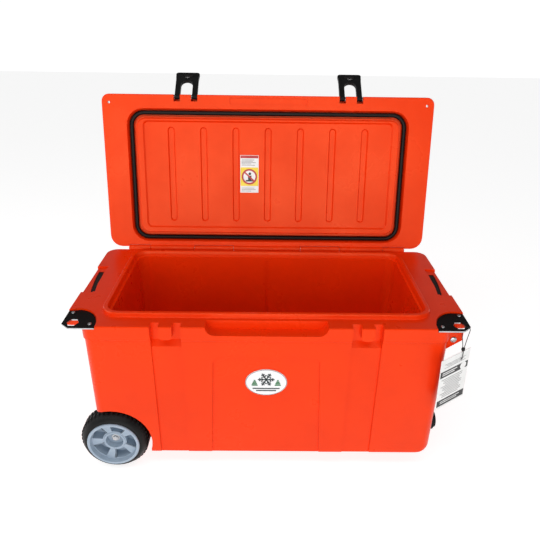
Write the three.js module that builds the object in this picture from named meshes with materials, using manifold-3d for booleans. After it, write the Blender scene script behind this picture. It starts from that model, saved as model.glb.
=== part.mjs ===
// Hard-sided cooler on two wheels, with its lid open.
// Millimetres. +X runs along the length towards the tow handle, +Y to the rear, +Z up.
// While it is built, the floor is z = 0 and the front edge of the rim is y = 0. The last step moves
// the whole cooler along Y, so that the middle of its footprint is the origin.

import * as THREE from 'three';
import { mergeVertices } from 'three/addons/utils/BufferGeometryUtils.js';
import Module from 'manifold-3d';

const wasm = await Module();
wasm.setup();

// ---------------------------------------------------------------- driving dimensions

const GAP = 0.3;                    // between two pieces that touch
const EPS = 20;                     // how far a cutter runs past the face that it cuts

const RIM_Z = 406;                  // top of the rim above the floor
const RIM_HALF_LENGTH = 448;        // to the outer edge of the end flanges
const RIM_DEPTH = 413;
const RIM_BAND = 36;                // height of the band round the top of the body
const FLANGE_THICKNESS = 22;
const FLANGE_FRONT_Y = 38;          // the end flanges stop short of the front corners

const BODY_BOTTOM = 46;
const BODY_HALF_LENGTH = 401;
const BODY_FRONT_Y = 3;
const BODY_REAR_Y = 403;
const BODY_CORNER = 20;
const RECESS_Y = 7.5;               // floor of the recesses in the front wall

const LIP_HEIGHT = 10;
const LIP_OUTER = { x: 371, front: 41, rear: 389, radius: 40 };
const LIP_INNER = { x: 359, front: 53, rear: 377, radius: 30 };
const CAVITY_TOP = { x: 353, front: 59, rear: 371, radius: 26 };
const CAVITY_FLOOR = { x: 346, front: 63, rear: 365, radius: 22 };
const LEDGE_DROP = 2;               // inner ledge below the rim's top
const FLOOR_Z = 84;                 // inside floor
const STEP_Z = 196;                 // inside floor above the wheels
const STEP_X = -252;

const WHEEL_RADIUS = 81;
const WHEEL_WIDTH = 44;
const WHEEL_X = -364;
const WHEEL_FRONT_Y = 1;            // face of the front wheel's hub
const WHEEL_TURN_DEG = 16;           // where the spokes rest, from one straight down
const AXLE_RADIUS = 6;
const ARCH_RADIUS = 91;
const BODY_MIDDLE_Y = (BODY_FRONT_Y + BODY_REAR_Y) / 2;

const HINGE_Y = 417;
const HINGE_Z = RIM_Z + 2;
const HINGE_KNUCKLE = 9;
const HINGE_ROD = 4;
const LID_OPEN_DEG = 100.4;         // from closed to the stop

const LID_HALF_LENGTH = 442;
const LID_FRONT = -416.5;             // in the lid's own frame, whose origin is on the hinge axis
const LID_REAR = -4;
const LID_UNDERSIDE = 1;
const LID_FLANGE = 26;
const LID_THICKNESS = 58;
const GASKET = { x: 368, front: -370, rear: -31, radius: 34, tube: 5.5 };
const PLUG = { x: 355, front: -360, rear: -44, radius: 28, drop: 12 };

const LATCH_X = 220;
const LATCH_PIN_Y = -411;           // in the lid's own frame
const LATCH_PIN_Z = 15;
const LATCH_OPEN_DEG = 130;         // from closed to the stop

const LUG_Y = 16;                   // front face of the front tow lug
const LUG_THICKNESS = 10;
const TOW_PIVOT = { x: 412, z: RIM_Z - 35 };
const TOW_TUBE = 6;
const TOW_REACH_Z = RIM_Z - 236;    // middle of the grip when the handle hangs
const TOW_NEST_X = 394;             // middle of the tube inside its nest

const DRAIN = { y: 74, z: RIM_Z - 312 };
const BADGE_Z = RIM_Z - 149;

// ---------------------------------------------------------------- solids

function solid(geometry) {
  const bare = geometry.clone();
  bare.deleteAttribute('normal');
  bare.deleteAttribute('uv');
  const merged = mergeVertices(bare, 1e-4);
  return new wasm.Manifold(new wasm.Mesh({
    numProp: 3,
    vertProperties: new Float32Array(merged.attributes.position.array),
    triVerts: new Uint32Array(merged.index.array),
  }));
}

function join(first, ...others) {
  return others.reduce((sum, other) => sum.add(other), first);
}

function cut(first, ...others) {
  return others.reduce((rest, other) => rest.subtract(other), first);
}

function geometryOf(manifold) {
  const { vertProperties, triVerts } = manifold.getMesh();
  const geometry = new THREE.BufferGeometry();
  geometry.setAttribute('position', new THREE.BufferAttribute(vertProperties, 3));
  geometry.setIndex(new THREE.BufferAttribute(triVerts, 1));
  geometry.computeVertexNormals();
  return geometry;
}

function piece(name, manifold, look) {
  const mesh = new THREE.Mesh(geometryOf(manifold), new THREE.MeshStandardMaterial(look));
  mesh.name = name;
  return mesh;
}

// Closed outline of a rectangle with rounded corners, counter-clockwise from the corner (x0, y0).
function roundedRectangle(x0, y0, x1, y1, radii, steps = 5) {
  const corners = [
    [x0 + radii[0], y0 + radii[0], Math.PI],
    [x1 - radii[1], y0 + radii[1], 1.5 * Math.PI],
    [x1 - radii[2], y1 - radii[2], 0],
    [x0 + radii[3], y1 - radii[3], 0.5 * Math.PI],
  ];
  const outline = [];
  corners.forEach(([cx, cy, start], corner) => {
    for (let i = 0; i <= steps; i++) {
      const angle = start + (i / steps) * 0.5 * Math.PI;
      outline.push(new THREE.Vector2(cx + radii[corner] * Math.cos(angle),
        cy + radii[corner] * Math.sin(angle)));
    }
  });
  return outline;
}

// A ring-shaped record such as LIP_OUTER as an outline, grown outwards by a margin.
function ringOutline(ring, grow = 0) {
  const radius = ring.radius + grow;
  return roundedRectangle(-ring.x - grow, ring.front - grow, ring.x + grow, ring.rear + grow,
    [radius, radius, radius, radius]);
}

// Solid through outlines with the same number of points, listed from the lowest to the highest.
function loft(levels) {
  const count = levels[0].outline.length;
  const positions = levels.flatMap(({ z, outline }) => outline.flatMap((p) => [p.x, p.y, z]));
  const indices = [];
  for (let level = 0; level < levels.length - 1; level++) {
    for (let i = 0; i < count; i++) {
      const a = level * count + i;
      const b = level * count + (i + 1) % count;
      indices.push(a, b, b + count, a, b + count, a + count);
    }
  }
  const top = (levels.length - 1) * count;
  for (const [a, b, c] of THREE.ShapeUtils.triangulateShape(levels[0].outline, [])) {
    indices.push(c, b, a);
  }
  for (const [a, b, c] of THREE.ShapeUtils.triangulateShape(levels.at(-1).outline, [])) {
    indices.push(top + a, top + b, top + c);
  }
  const geometry = new THREE.BufferGeometry();
  geometry.setAttribute('position', new THREE.Float32BufferAttribute(positions, 3));
  geometry.setIndex(indices);
  return solid(geometry);
}

function prism(outline, z0, z1) {
  return loft([{ z: z0, outline }, { z: z1, outline }]);
}

function block(x0, x1, y0, y1, z0, z1) {
  const geometry = new THREE.BoxGeometry(x1 - x0, y1 - y0, z1 - z0);
  geometry.translate((x0 + x1) / 2, (y0 + y1) / 2, (z0 + z1) / 2);
  return solid(geometry);
}

// Cylinder from one end to the other along an axis, through the point given by its other coordinates.
function cylinder(axis, radius, from, to, centre, sides = 20) {
  const geometry = new THREE.CylinderGeometry(radius, radius, to - from, sides);
  const middle = (from + to) / 2;
  if (axis === 'x') {
    geometry.rotateZ(Math.PI / 2);
    geometry.translate(middle, centre.y, centre.z);
  } else if (axis === 'y') {
    geometry.translate(centre.x, middle, centre.z);
  } else {
    geometry.rotateX(Math.PI / 2);
    geometry.translate(centre.x, centre.y, middle);
  }
  return solid(geometry);
}

// A flat shape pushed along an axis: an XY shape along Z, an XZ shape along Y or a YZ shape along X.
function extrude(shape, axis, from, to, curveSegments = 8) {
  const geometry = new THREE.ExtrudeGeometry(shape, {
    depth: to - from, bevelEnabled: false, curveSegments,
  });
  if (axis === 'z') {
    geometry.translate(0, 0, from);
  } else if (axis === 'y') {
    geometry.rotateX(Math.PI / 2);
    geometry.translate(0, to, 0);
  } else {
    geometry.rotateZ(Math.PI / 2);
    geometry.rotateY(Math.PI / 2);
    geometry.translate(from, 0, 0);
  }
  return solid(geometry);
}

function polygon(points) {
  return new THREE.Shape(points.map(([a, b]) => new THREE.Vector2(a, b)));
}

// Ring about the Y axis from a profile of [radius, y] points that closes on itself.
function ringAboutY(profile, sides) {
  const points = profile.map(([radius, y]) => new THREE.Vector2(radius, y));
  points.push(points[0].clone());
  return solid(new THREE.LatheGeometry(points, sides));
}

function tube(curve, radius, steps, sides) {
  const section = new THREE.Shape();
  section.absarc(0, 0, radius, 0, 2 * Math.PI);
  return solid(new THREE.ExtrudeGeometry(section, {
    extrudePath: curve, steps, curveSegments: sides / 2, bevelEnabled: false,
  }));
}

function mirroredInX(manifold) {
  return manifold.mirror([1, 0, 0]);
}

// ---------------------------------------------------------------- looks

const ORANGE = { color: 0xff4f1c, roughness: 0.42, metalness: 0 };
const FOAM = { color: 0xe8dcb0, roughness: 0.95, metalness: 0 };
const BLACK_PLASTIC = { color: 0x17171a, roughness: 0.5, metalness: 0 };
const BLACK_RUBBER = { color: 0x1c1b1b, roughness: 0.8, metalness: 0 };
const BLACK_METAL = { color: 0x121214, roughness: 0.4, metalness: 0.3 };
const STEEL = { color: 0xc2c4c8, roughness: 0.3, metalness: 1 };
const WHEEL_GREY = { color: 0xb7c3cc, roughness: 0.45, metalness: 0 };
const WHITE_LABEL = { color: 0xf3f4f4, roughness: 0.5, metalness: 0 };
const CARD = { color: 0xf6f6f4, roughness: 0.7, metalness: 0 };

// ---------------------------------------------------------------- body

// How far a rounded lower edge of the given radius is set in, at a height above its lowest point.
function edgeInset(height, radius) {
  return height < radius ? radius - Math.sqrt(radius ** 2 - (radius - height) ** 2) : 0;
}

function tub() {
  const endRadius = 22;
  const sideRadius = 6;
  const levels = [0, 1.5, 4, 8, 14, endRadius, RIM_Z - BODY_BOTTOM - FLANGE_THICKNESS / 2];
  return loft(levels.map((height) => {
    const x = BODY_HALF_LENGTH - edgeInset(height, endRadius);
    const inset = edgeInset(height, sideRadius);
    return {
      z: BODY_BOTTOM + height,
      outline: roundedRectangle(-x, BODY_FRONT_Y + inset, x, BODY_REAR_Y - inset,
        [BODY_CORNER, BODY_CORNER, BODY_CORNER, BODY_CORNER]),
    };
  }));
}

function rimSlabs() {
  const bandX = BODY_HALF_LENGTH + 2.5;
  const bandRadius = BODY_CORNER + 2;
  const band = (inset) => roundedRectangle(-bandX + inset, inset, bandX - inset, RIM_DEPTH - inset,
    [bandRadius, bandRadius, bandRadius, bandRadius]);
  const bandLevels = [
    { z: RIM_Z - RIM_BAND, outline: band(2) },
    { z: RIM_Z - RIM_BAND + 2, outline: band(0) },
    { z: RIM_Z - 2, outline: band(0) },
    { z: RIM_Z, outline: band(1.5) },
  ];
  const flange = (inset) => roundedRectangle(-RIM_HALF_LENGTH + inset, FLANGE_FRONT_Y + inset,
    RIM_HALF_LENGTH - inset, RIM_DEPTH - inset, [8, 8, 28, 28]);
  const flangeLevels = [
    { z: RIM_Z - FLANGE_THICKNESS, outline: flange(3) },
    { z: RIM_Z - FLANGE_THICKNESS + 3, outline: flange(0) },
    { z: RIM_Z - 2, outline: flange(0) },
    { z: RIM_Z, outline: flange(1.5) },
  ];
  return join(loft(bandLevels), loft(flangeLevels));
}

function lip() {
  return loft([
    { z: RIM_Z - 4, outline: ringOutline(LIP_OUTER, 2) },
    { z: RIM_Z + 2, outline: ringOutline(LIP_OUTER, 0) },
    { z: RIM_Z + LIP_HEIGHT - 2, outline: ringOutline(LIP_OUTER, -0.5) },
    { z: RIM_Z + LIP_HEIGHT, outline: ringOutline(LIP_OUTER, -2.5) },
  ]);
}

// The inside of the cooler, grown outwards by a margin: a deep box with a shallow step over the wheels.
function cavity(grow = 0) {
  const share = (STEP_Z - FLOOR_Z) / (RIM_Z - FLOOR_Z);
  const ring = (t) => ({
    x: THREE.MathUtils.lerp(CAVITY_FLOOR.x, CAVITY_TOP.x, t) + grow,
    front: THREE.MathUtils.lerp(CAVITY_FLOOR.front, CAVITY_TOP.front, t) - grow,
    rear: THREE.MathUtils.lerp(CAVITY_FLOOR.rear, CAVITY_TOP.rear, t) + grow,
    radius: THREE.MathUtils.lerp(CAVITY_FLOOR.radius, CAVITY_TOP.radius, t) + grow,
  });
  const outline = (r, x0, inset) => roundedRectangle(x0 + inset, r.front + inset, r.x - inset,
    r.rear - inset, Array(4).fill(r.radius));
  const floorRound = 10;
  const deepStart = STEP_X - grow;
  const deep = loft([
    { z: FLOOR_Z - grow, outline: outline(ring(0), deepStart, floorRound) },
    { z: FLOOR_Z - grow + 3, outline: outline(ring(0), deepStart, 3) },
    { z: FLOOR_Z - grow + floorRound, outline: outline(ring(0), deepStart, 0) },
    { z: STEP_Z + floorRound, outline: outline(ring(share), deepStart, 0) },
  ]);
  const wide = loft([
    { z: STEP_Z - grow, outline: outline(ring(share), -ring(share).x, floorRound) },
    { z: STEP_Z - grow + 3, outline: outline(ring(share), -ring(share).x, 3) },
    { z: STEP_Z - grow + floorRound, outline: outline(ring(share), -ring(share).x, 0) },
    { z: RIM_Z - LEDGE_DROP, outline: outline(ring(1), -ring(1).x, 0) },
  ]);
  return join(deep, wide);
}

function mouth() {
  return loft([
    { z: RIM_Z - LEDGE_DROP - 2, outline: ringOutline(LIP_INNER, -4) },
    { z: RIM_Z - LEDGE_DROP, outline: ringOutline(LIP_INNER, -1) },
    { z: RIM_Z + LIP_HEIGHT - 3, outline: ringOutline(LIP_INNER, 0) },
    { z: RIM_Z + LIP_HEIGHT + 1, outline: ringOutline(LIP_INNER, 3) },
  ]);
}

// Grooves in the inner walls at mid-length, which hold a divider board and follow the walls' taper.
function dividerGrooves() {
  const halfWidth = 4;
  const depth = 3;
  const slab = block(-halfWidth, halfWidth, 0, RIM_DEPTH, FLOOR_Z + 8, RIM_Z - 14);
  return slab.intersect(cavity(depth));
}

// Scoop in the middle of the front rim, where fingers reach under the lid.
function fingerScoop() {
  const top = 134;
  const floor = 110;
  const depth = 21;
  const shape = new THREE.Shape();
  shape.moveTo(-top, RIM_Z + EPS);
  shape.lineTo(-top, RIM_Z);
  shape.quadraticCurveTo(-top + 3, RIM_Z - depth, -floor, RIM_Z - depth);
  shape.lineTo(floor, RIM_Z - depth);
  shape.quadraticCurveTo(top - 3, RIM_Z - depth, top, RIM_Z);
  shape.lineTo(top, RIM_Z + EPS);
  return extrude(shape, 'y', -EPS, 31);
}

// Pocket for a latch's legs with the keeper tab left standing, and the channel below it.
function latchPocket(centre) {
  const halfWidth = 33.5;
  const keeperHalf = 14.5;
  const keeperDrop = 33;
  const pocket = polygon([[-EPS, RIM_Z + EPS], [-EPS, RIM_Z - 64], [RECESS_Y, RIM_Z - 54],
    [19, RIM_Z - 42], [19, RIM_Z + EPS]]);
  const keeper = new THREE.Shape();
  keeper.moveTo(centre - keeperHalf, RIM_Z + 2 * EPS);
  keeper.lineTo(centre - keeperHalf, RIM_Z - keeperDrop + 8);
  keeper.quadraticCurveTo(centre - keeperHalf, RIM_Z - keeperDrop, centre, RIM_Z - keeperDrop);
  keeper.quadraticCurveTo(centre + keeperHalf, RIM_Z - keeperDrop,
    centre + keeperHalf, RIM_Z - keeperDrop + 8);
  keeper.lineTo(centre + keeperHalf, RIM_Z + 2 * EPS);
  return join(
    cut(extrude(pocket, 'x', centre - halfWidth, centre + halfWidth),
      extrude(keeper, 'y', -2 * EPS, 3 * EPS)),
    block(centre - halfWidth, centre + halfWidth, -EPS, RECESS_Y, BODY_BOTTOM - EPS,
      RIM_Z - RIM_BAND),
  );
}

function frontPanel() {
  const topZ = RIM_Z - 78;
  const topHalf = 120;
  const bottomHalf = 130;
  const corner = 20;
  const shape = new THREE.Shape();
  shape.moveTo(-bottomHalf - 1, BODY_BOTTOM - EPS);
  shape.lineTo(bottomHalf + 1, BODY_BOTTOM - EPS);
  shape.lineTo(topHalf, topZ - corner);
  shape.quadraticCurveTo(topHalf, topZ, topHalf - corner, topZ);
  shape.lineTo(-topHalf + corner, topZ);
  shape.quadraticCurveTo(-topHalf, topZ, -topHalf, topZ - corner);
  return extrude(shape, 'y', -EPS, RECESS_Y);
}

// Arched pockets for both wheels, grown outwards by a margin.
function wheelPockets(grow = 0) {
  const radius = ARCH_RADIUS + grow;
  const depth = WHEEL_WIDTH + 10 + grow;
  const centre = { x: WHEEL_X, z: WHEEL_RADIUS };
  const opening = (from, to) => join(
    cylinder('y', radius, from, to, centre, 36),
    block(WHEEL_X - 120, WHEEL_X + radius * 0.96, from, to, -EPS, WHEEL_RADIUS - 25),
    block(WHEEL_X - 120, WHEEL_X - radius * 0.55, from, to, -EPS, WHEEL_RADIUS + radius * 0.83),
  );
  return join(opening(-EPS, depth), opening(2 * BODY_MIDDLE_Y - depth, RIM_DEPTH + EPS));
}

const SLOT_Z = RIM_Z - 4.5;

// The stepped-down stretch of an end flange that a hand holds.
function handleStep() {
  return join(
    block(419, RIM_HALF_LENGTH + EPS, 155, 298, SLOT_Z, RIM_Z + EPS),
    block(RIM_HALF_LENGTH - 3.5, RIM_HALF_LENGTH + EPS, 155, 298, RIM_Z - 2 * FLANGE_THICKNESS,
      RIM_Z + EPS),
  );
}

// Outline of the slot in an end flange, whose outer side bows outwards.
function slotShape(grow) {
  const shape = new THREE.Shape();
  shape.moveTo(414 - grow, 159 - grow);
  shape.lineTo(425.5 + grow, 159 - grow);
  shape.quadraticCurveTo(437 + grow, 222, 437 + grow, 276 + grow);
  shape.lineTo(424 - grow, 276 + grow);
  shape.quadraticCurveTo(421.5 - grow, 216, 414 - grow, 159 - grow);
  return shape;
}

const PLATE_SEAT_Z = RIM_Z - 7;

// Outline of a right-hand corner plate, grown outwards by a margin.
function plateShape(grow) {
  const shape = new THREE.Shape();
  shape.moveTo(371 - grow, -grow);
  shape.lineTo(427 + grow, -grow);
  shape.lineTo(446 + grow, 17);
  shape.lineTo(447 + grow, 73 + grow);
  shape.lineTo(425, 76 + grow);
  shape.absellipse(425, 4, 54 + grow, 72 + grow, 0.5 * Math.PI, Math.PI, false, 0);
  return shape;
}

// A web under the right-hand corner, which holds one end of the tow handle's pivot. Its outer part
// stays low, so that a padlock's shackle has room below the hexagon of the plate.
function towLug(from, top) {
  const outerTop = RIM_Z - 17.5;
  const shape = polygon([[BODY_HALF_LENGTH - 4, top], [406, top], [409, outerTop], [432, outerTop],
    [432, RIM_Z - 37], [BODY_HALF_LENGTH - 4, RIM_Z - 62]]);
  return extrude(shape, 'y', from, from + LUG_THICKNESS);
}

const REAR_LUG_Y = 2 * BODY_MIDDLE_Y - LUG_Y - LUG_THICKNESS;

// Nest in the right-hand end wall that the hanging tow handle lies in.
function towNest() {
  const front = LUG_Y + LUG_THICKNESS + 1;
  const outline = roundedRectangle(front, TOW_REACH_Z - 24, 2 * BODY_MIDDLE_Y - front,
    RIM_Z - FLANGE_THICKNESS - 3, [26, 26, 2, 2]);
  return extrude(new THREE.Shape(outline), 'x', TOW_NEST_X - 15, BODY_HALF_LENGTH + EPS);
}

const FEET = [[300, 62], [300, BODY_REAR_Y - 62 - 54]];

// Two moulded feet under the tow end, each with a rubber pad of its own height below it.
function feet() {
  const outline = ([x, y], inset) => roundedRectangle(x + inset, y + inset, x + 72 - inset,
    y + 54 - inset, [12, 12, 12, 12]);
  return FEET.map((corner) => loft([
    { z: 8, outline: outline(corner, 5) },
    { z: BODY_BOTTOM + 6, outline: outline(corner, 0) },
  ]));
}

// Middle stretches of the hinge belong to the body and the lid by turns.
const BODY_KNUCKLES = [[-390, -330], [-205, -95], [95, 205], [330, 390]];
const LID_KNUCKLES = [[-329, -206], [-94, 94], [206, 329]];
const HINGE_AXIS = { y: HINGE_Y, z: HINGE_Z };

function bodyKnuckles() {
  return BODY_KNUCKLES.flatMap(([from, to]) => [
    cylinder('x', HINGE_KNUCKLE, from, to, HINGE_AXIS),
    block(from, to, RIM_DEPTH - 12, HINGE_Y, HINGE_Z - HINGE_KNUCKLE, RIM_Z - 0.5),
  ]);
}

const PLATE_SCREWS = [{ x: 435, y: 64 }, { x: 384, y: 16 }];
const FILL_HOLES = [{ x: 190, y: BODY_MIDDLE_Y }, { x: -120, y: BODY_MIDDLE_Y }];
const FILL_RADIUS = 14;
const AXLE_CENTRE = { x: WHEEL_X, z: WHEEL_RADIUS };

function screwHoles(radius) {
  return PLATE_SCREWS.map((at) => cylinder('z', radius, RIM_Z - 21, RIM_Z + EPS, at, 12));
}

function foamSpace(inset) {
  const x = BODY_HALF_LENGTH - 6 - inset;
  const outer = loft([
    { z: BODY_BOTTOM + 5 + inset, outline: roundedRectangle(-x + 14, 12 + inset, x - 14,
      BODY_REAR_Y - 6 - inset, [16, 16, 16, 16]) },
    { z: BODY_BOTTOM + 24, outline: roundedRectangle(-x, 12 + inset, x,
      BODY_REAR_Y - 6 - inset, [16, 16, 16, 16]) },
    { z: RIM_Z - 66 - inset, outline: roundedRectangle(-x, 12 + inset, x,
      BODY_REAR_Y - 6 - inset, [16, 16, 16, 16]) },
  ]);
  const nest = block(TOW_NEST_X - 21 - inset, BODY_HALF_LENGTH, 0, RIM_DEPTH, TOW_REACH_Z - 32,
    RIM_Z);
  const drain = cylinder('x', 22 + inset, 300, 420, DRAIN);
  const axle = cylinder('y', AXLE_RADIUS + 6 + inset, 0, RIM_DEPTH, AXLE_CENTRE);
  return cut(outer, cavity(5 + inset), wheelPockets(6 + inset), nest, drain, axle);
}

function bodyShell() {
  const plateSeat = extrude(plateShape(1.6), 'z', PLATE_SEAT_Z, RIM_Z + EPS, 12);
  const slot = extrude(slotShape(0), 'z', RIM_Z - 2 * FLANGE_THICKNESS, RIM_Z + EPS);
  const bothEnds = (manifold) => [manifold, mirroredInX(manifold)];
  const moulding = join(tub(), rimSlabs(), ...feet());
  const outside = cut(
    moulding,
    fingerScoop(),
    latchPocket(-LATCH_X),
    latchPocket(LATCH_X),
    frontPanel(),
    wheelPockets(),
    towNest(),
    ...bothEnds(plateSeat),
    ...bothEnds(handleStep()),
    ...bothEnds(slot),
  );
  const joined = join(outside, lip(), ...bodyKnuckles(),
    towLug(LUG_Y, PLATE_SEAT_Z), towLug(REAR_LUG_Y, RIM_Z - FLANGE_THICKNESS + 4));
  const screws = screwHoles(2.2);
  return cut(
    joined,
    cavity(),
    mouth(),
    dividerGrooves(),
    foamSpace(0),
    ...LID_KNUCKLES.map(([from, to]) => cylinder('x', HINGE_KNUCKLE + 1, from - 1, to + 1,
      HINGE_AXIS)),
    cylinder('x', HINGE_ROD + GAP, -400, 400, HINGE_AXIS, 16),
    cylinder('y', AXLE_RADIUS + 2, -EPS, RIM_DEPTH + EPS, AXLE_CENTRE, 20),
    cylinder('y', 4.3, 0, RIM_DEPTH, TOW_PIVOT, 16),
    cylinder('x', 16 + GAP, 320, 420, DRAIN),
    ...FILL_HOLES.map((at) => cylinder('z', FILL_RADIUS + GAP, 0, FLOOR_Z - 20, at)),
    ...screws,
    ...screws.map(mirroredInX),
  );
}

const cooler = new THREE.Group();
cooler.add(piece('body_shell', bodyShell(), ORANGE));

const bodyFoam = cut(foamSpace(GAP),
  ...FILL_HOLES.map((at) => cylinder('z', FILL_RADIUS + GAP, 0, BODY_BOTTOM + 12, at)));
cooler.add(piece('body_foam_core', bodyFoam, FOAM));

FILL_HOLES.forEach((at, i) => {
  const plug = join(cylinder('z', FILL_RADIUS, BODY_BOTTOM, BODY_BOTTOM + 10, at),
    cylinder('z', FILL_RADIUS + 4, BODY_BOTTOM - 2.5, BODY_BOTTOM - GAP, at),
    cylinder('z', 8, BODY_BOTTOM - 2, BODY_BOTTOM + 2, at));
  cooler.add(piece(`fill_plug_${i + 1}`, plug, BLACK_PLASTIC));
});

// ---------------------------------------------------------------- feet, handles and corner plates

FEET.forEach(([x, y], i) => {
  const outline = (inset) => roundedRectangle(x + inset, y + inset, x + 72 - inset, y + 54 - inset,
    [12, 12, 12, 12]);
  const pad = loft([
    { z: 0, outline: outline(4) },
    { z: 2, outline: outline(2) },
    { z: 8 - GAP, outline: outline(2) },
  ]);
  cooler.add(piece(`foot_pad_${i ? 'rear' : 'front'}`, pad, BLACK_RUBBER));
});

// A rubber grip fills each slot and lines the underside of the flange, where fingers hold it.
function slotGrip() {
  const lining = new THREE.Shape(roundedRectangle(409, 157, 441, 276, [10, 10, 10, 10]));
  return join(
    extrude(slotShape(-GAP), 'z', RIM_Z - FLANGE_THICKNESS - 1, SLOT_Z - 1.5),
    extrude(lining, 'z', RIM_Z - FLANGE_THICKNESS - 5, RIM_Z - FLANGE_THICKNESS - GAP),
  );
}

function cornerPlate() {
  const shape = plateShape(0);
  const hexagon = new THREE.Path();
  const centre = new THREE.Vector2(423, 23);
  for (let i = 0; i < 6; i++) {
    const angle = i * Math.PI / 3;
    hexagon[i ? 'lineTo' : 'moveTo'](centre.x + 13 * Math.cos(angle), centre.y + 15 * Math.sin(angle));
  }
  shape.holes.push(hexagon);
  for (const at of PLATE_SCREWS) {
    const hole = new THREE.Path();
    hole.absarc(at.x, at.y, 2.6, 0, 2 * Math.PI, true);
    shape.holes.push(hole);
  }
  return extrude(shape, 'z', PLATE_SEAT_Z + GAP, PLATE_SEAT_Z + GAP + 3, 12);
}

// Pan-head screw through a plate.
function plateScrew(at) {
  const seat = PLATE_SEAT_Z + 3 + 2 * GAP;
  return join(
    cylinder('z', 1.9, RIM_Z - 20, seat + 0.5, at, 8),
    cylinder('z', 4.2, seat, seat + 1.6, at, 12),
    cylinder('z', 3.1, seat + 1, seat + 2.3, at, 12),
  );
}

const ENDS = [['left', mirroredInX], ['right', (manifold) => manifold]];
for (const [end, place] of ENDS) {
  cooler.add(piece(`${end}_handle_grip`, place(slotGrip()), BLACK_RUBBER));
  cooler.add(piece(`${end}_corner_plate`, place(cornerPlate()), BLACK_METAL));
  PLATE_SCREWS.forEach((at, i) => {
    cooler.add(piece(`${end}_plate_screw_${i + 1}`, place(plateScrew(at)), STEEL));
  });
}

// Oval badge on the front panel.
function badge() {
  const shape = new THREE.Shape();
  shape.absellipse(0, BADGE_Z, 47.5, 36, 0, 2 * Math.PI);
  return extrude(shape, 'y', RECESS_Y - GAP - 2.2, RECESS_Y - GAP, 24);
}
cooler.add(piece('oval_badge', badge(), WHITE_LABEL));

// ---------------------------------------------------------------- hinge rod, axle and wheels

cooler.add(piece('hinge_rod', cylinder('x', HINGE_ROD, -392, 392, HINGE_AXIS, 16), STEEL));

const AXLE_END_Y = WHEEL_FRONT_Y + 15;
const REAR_AXLE_END_Y = 2 * BODY_MIDDLE_Y - AXLE_END_Y;
cooler.add(piece('axle', cylinder('y', AXLE_RADIUS, AXLE_END_Y, REAR_AXLE_END_Y, AXLE_CENTRE, 20),
  STEEL));

// Pieces of the front wheel, in a frame whose Y axis is the axle and whose origin is the hub's face.
// The wheel is dished: its outer ring stands in front of the hub.
function wheelRim() {
  const profile = [[AXLE_RADIUS + GAP, 17], [20, 17], [21, 1.5], [24.5, 1.5], [26.5, 3.5],
    [53.5, 0.5], [55.5, -11.5], [60, -12.5], [62, -10.5], [62, 9], [57.5, 11], [57.5, 33],
    [62, 35], [62, 41], [54, 41], [54, 31], [20, 30], [18, 44], [AXLE_RADIUS + GAP, 44]];
  const window = new THREE.Shape();
  const [inner, outer, half] = [28.5, 52.5, 0.42];
  window.absarc(0, 0, outer, -half, half, false);
  window.absarc(0, 0, inner, half * 0.8, -half * 0.8, true);
  const pocket = extrude(window, 'y', -14, 25, 3);
  const pockets = [0, 1, 2, 3, 4].map((i) => pocket.rotate([0, -90 + WHEEL_TURN_DEG + i * 72, 0]));
  return cut(ringAboutY(profile, 30), ...pockets);
}

function tyre() {
  const [bore, width] = [62 + GAP, WHEEL_WIDTH];
  return ringAboutY([[bore, -8.5], [66, -8.5], [71.5, -4.5], [76.5, 2], [WHEEL_RADIUS, 11],
    [WHEEL_RADIUS, width - 11], [76, width - 2.5], [69, width - 0.5], [bore, width - 3],
    [bore, 35 - GAP], [58, 33 - GAP], [58, 11 + GAP], [bore, 9 + GAP]], 36);
}

function axleBolt() {
  return join(
    cylinder('y', 10, 4.8, 6.6, { x: 0, z: 0 }, 24),
    cylinder('y', 7.2, 1.2, 5, { x: 0, z: 0 }, 6),
  );
}

function washer() {
  return cut(cylinder('y', 11, 0, 1.6, { x: 0, z: 0 }, 24),
    cylinder('y', AXLE_RADIUS + GAP, -1, 3, { x: 0, z: 0 }, 20));
}

// Both wheels are alike. The rear one is turned round, so that its outer face looks to the rear.
for (const [place, faceY, turn] of [['front', WHEEL_FRONT_Y, 0],
  ['rear', 2 * BODY_MIDDLE_Y - WHEEL_FRONT_Y, Math.PI]]) {
  const wheel = new THREE.Group();
  wheel.position.set(WHEEL_X, faceY, WHEEL_RADIUS);
  wheel.rotation.z = turn;
  wheel.add(piece(`${place}_wheel_rim`, wheelRim(), WHEEL_GREY));
  wheel.add(piece(`${place}_tyre`, tyre(), BLACK_RUBBER));
  const bolt = piece(`${place}_axle_bolt`, axleBolt(), STEEL);
  bolt.position.y = 15 - 6.6 - GAP;
  wheel.add(bolt);
  const spacer = piece(`${place}_axle_washer`, washer(), STEEL);
  spacer.position.y = WHEEL_WIDTH + 2;
  wheel.add(spacer);
  cooler.add(wheel);
}

// ---------------------------------------------------------------- tow handle and drain

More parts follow.
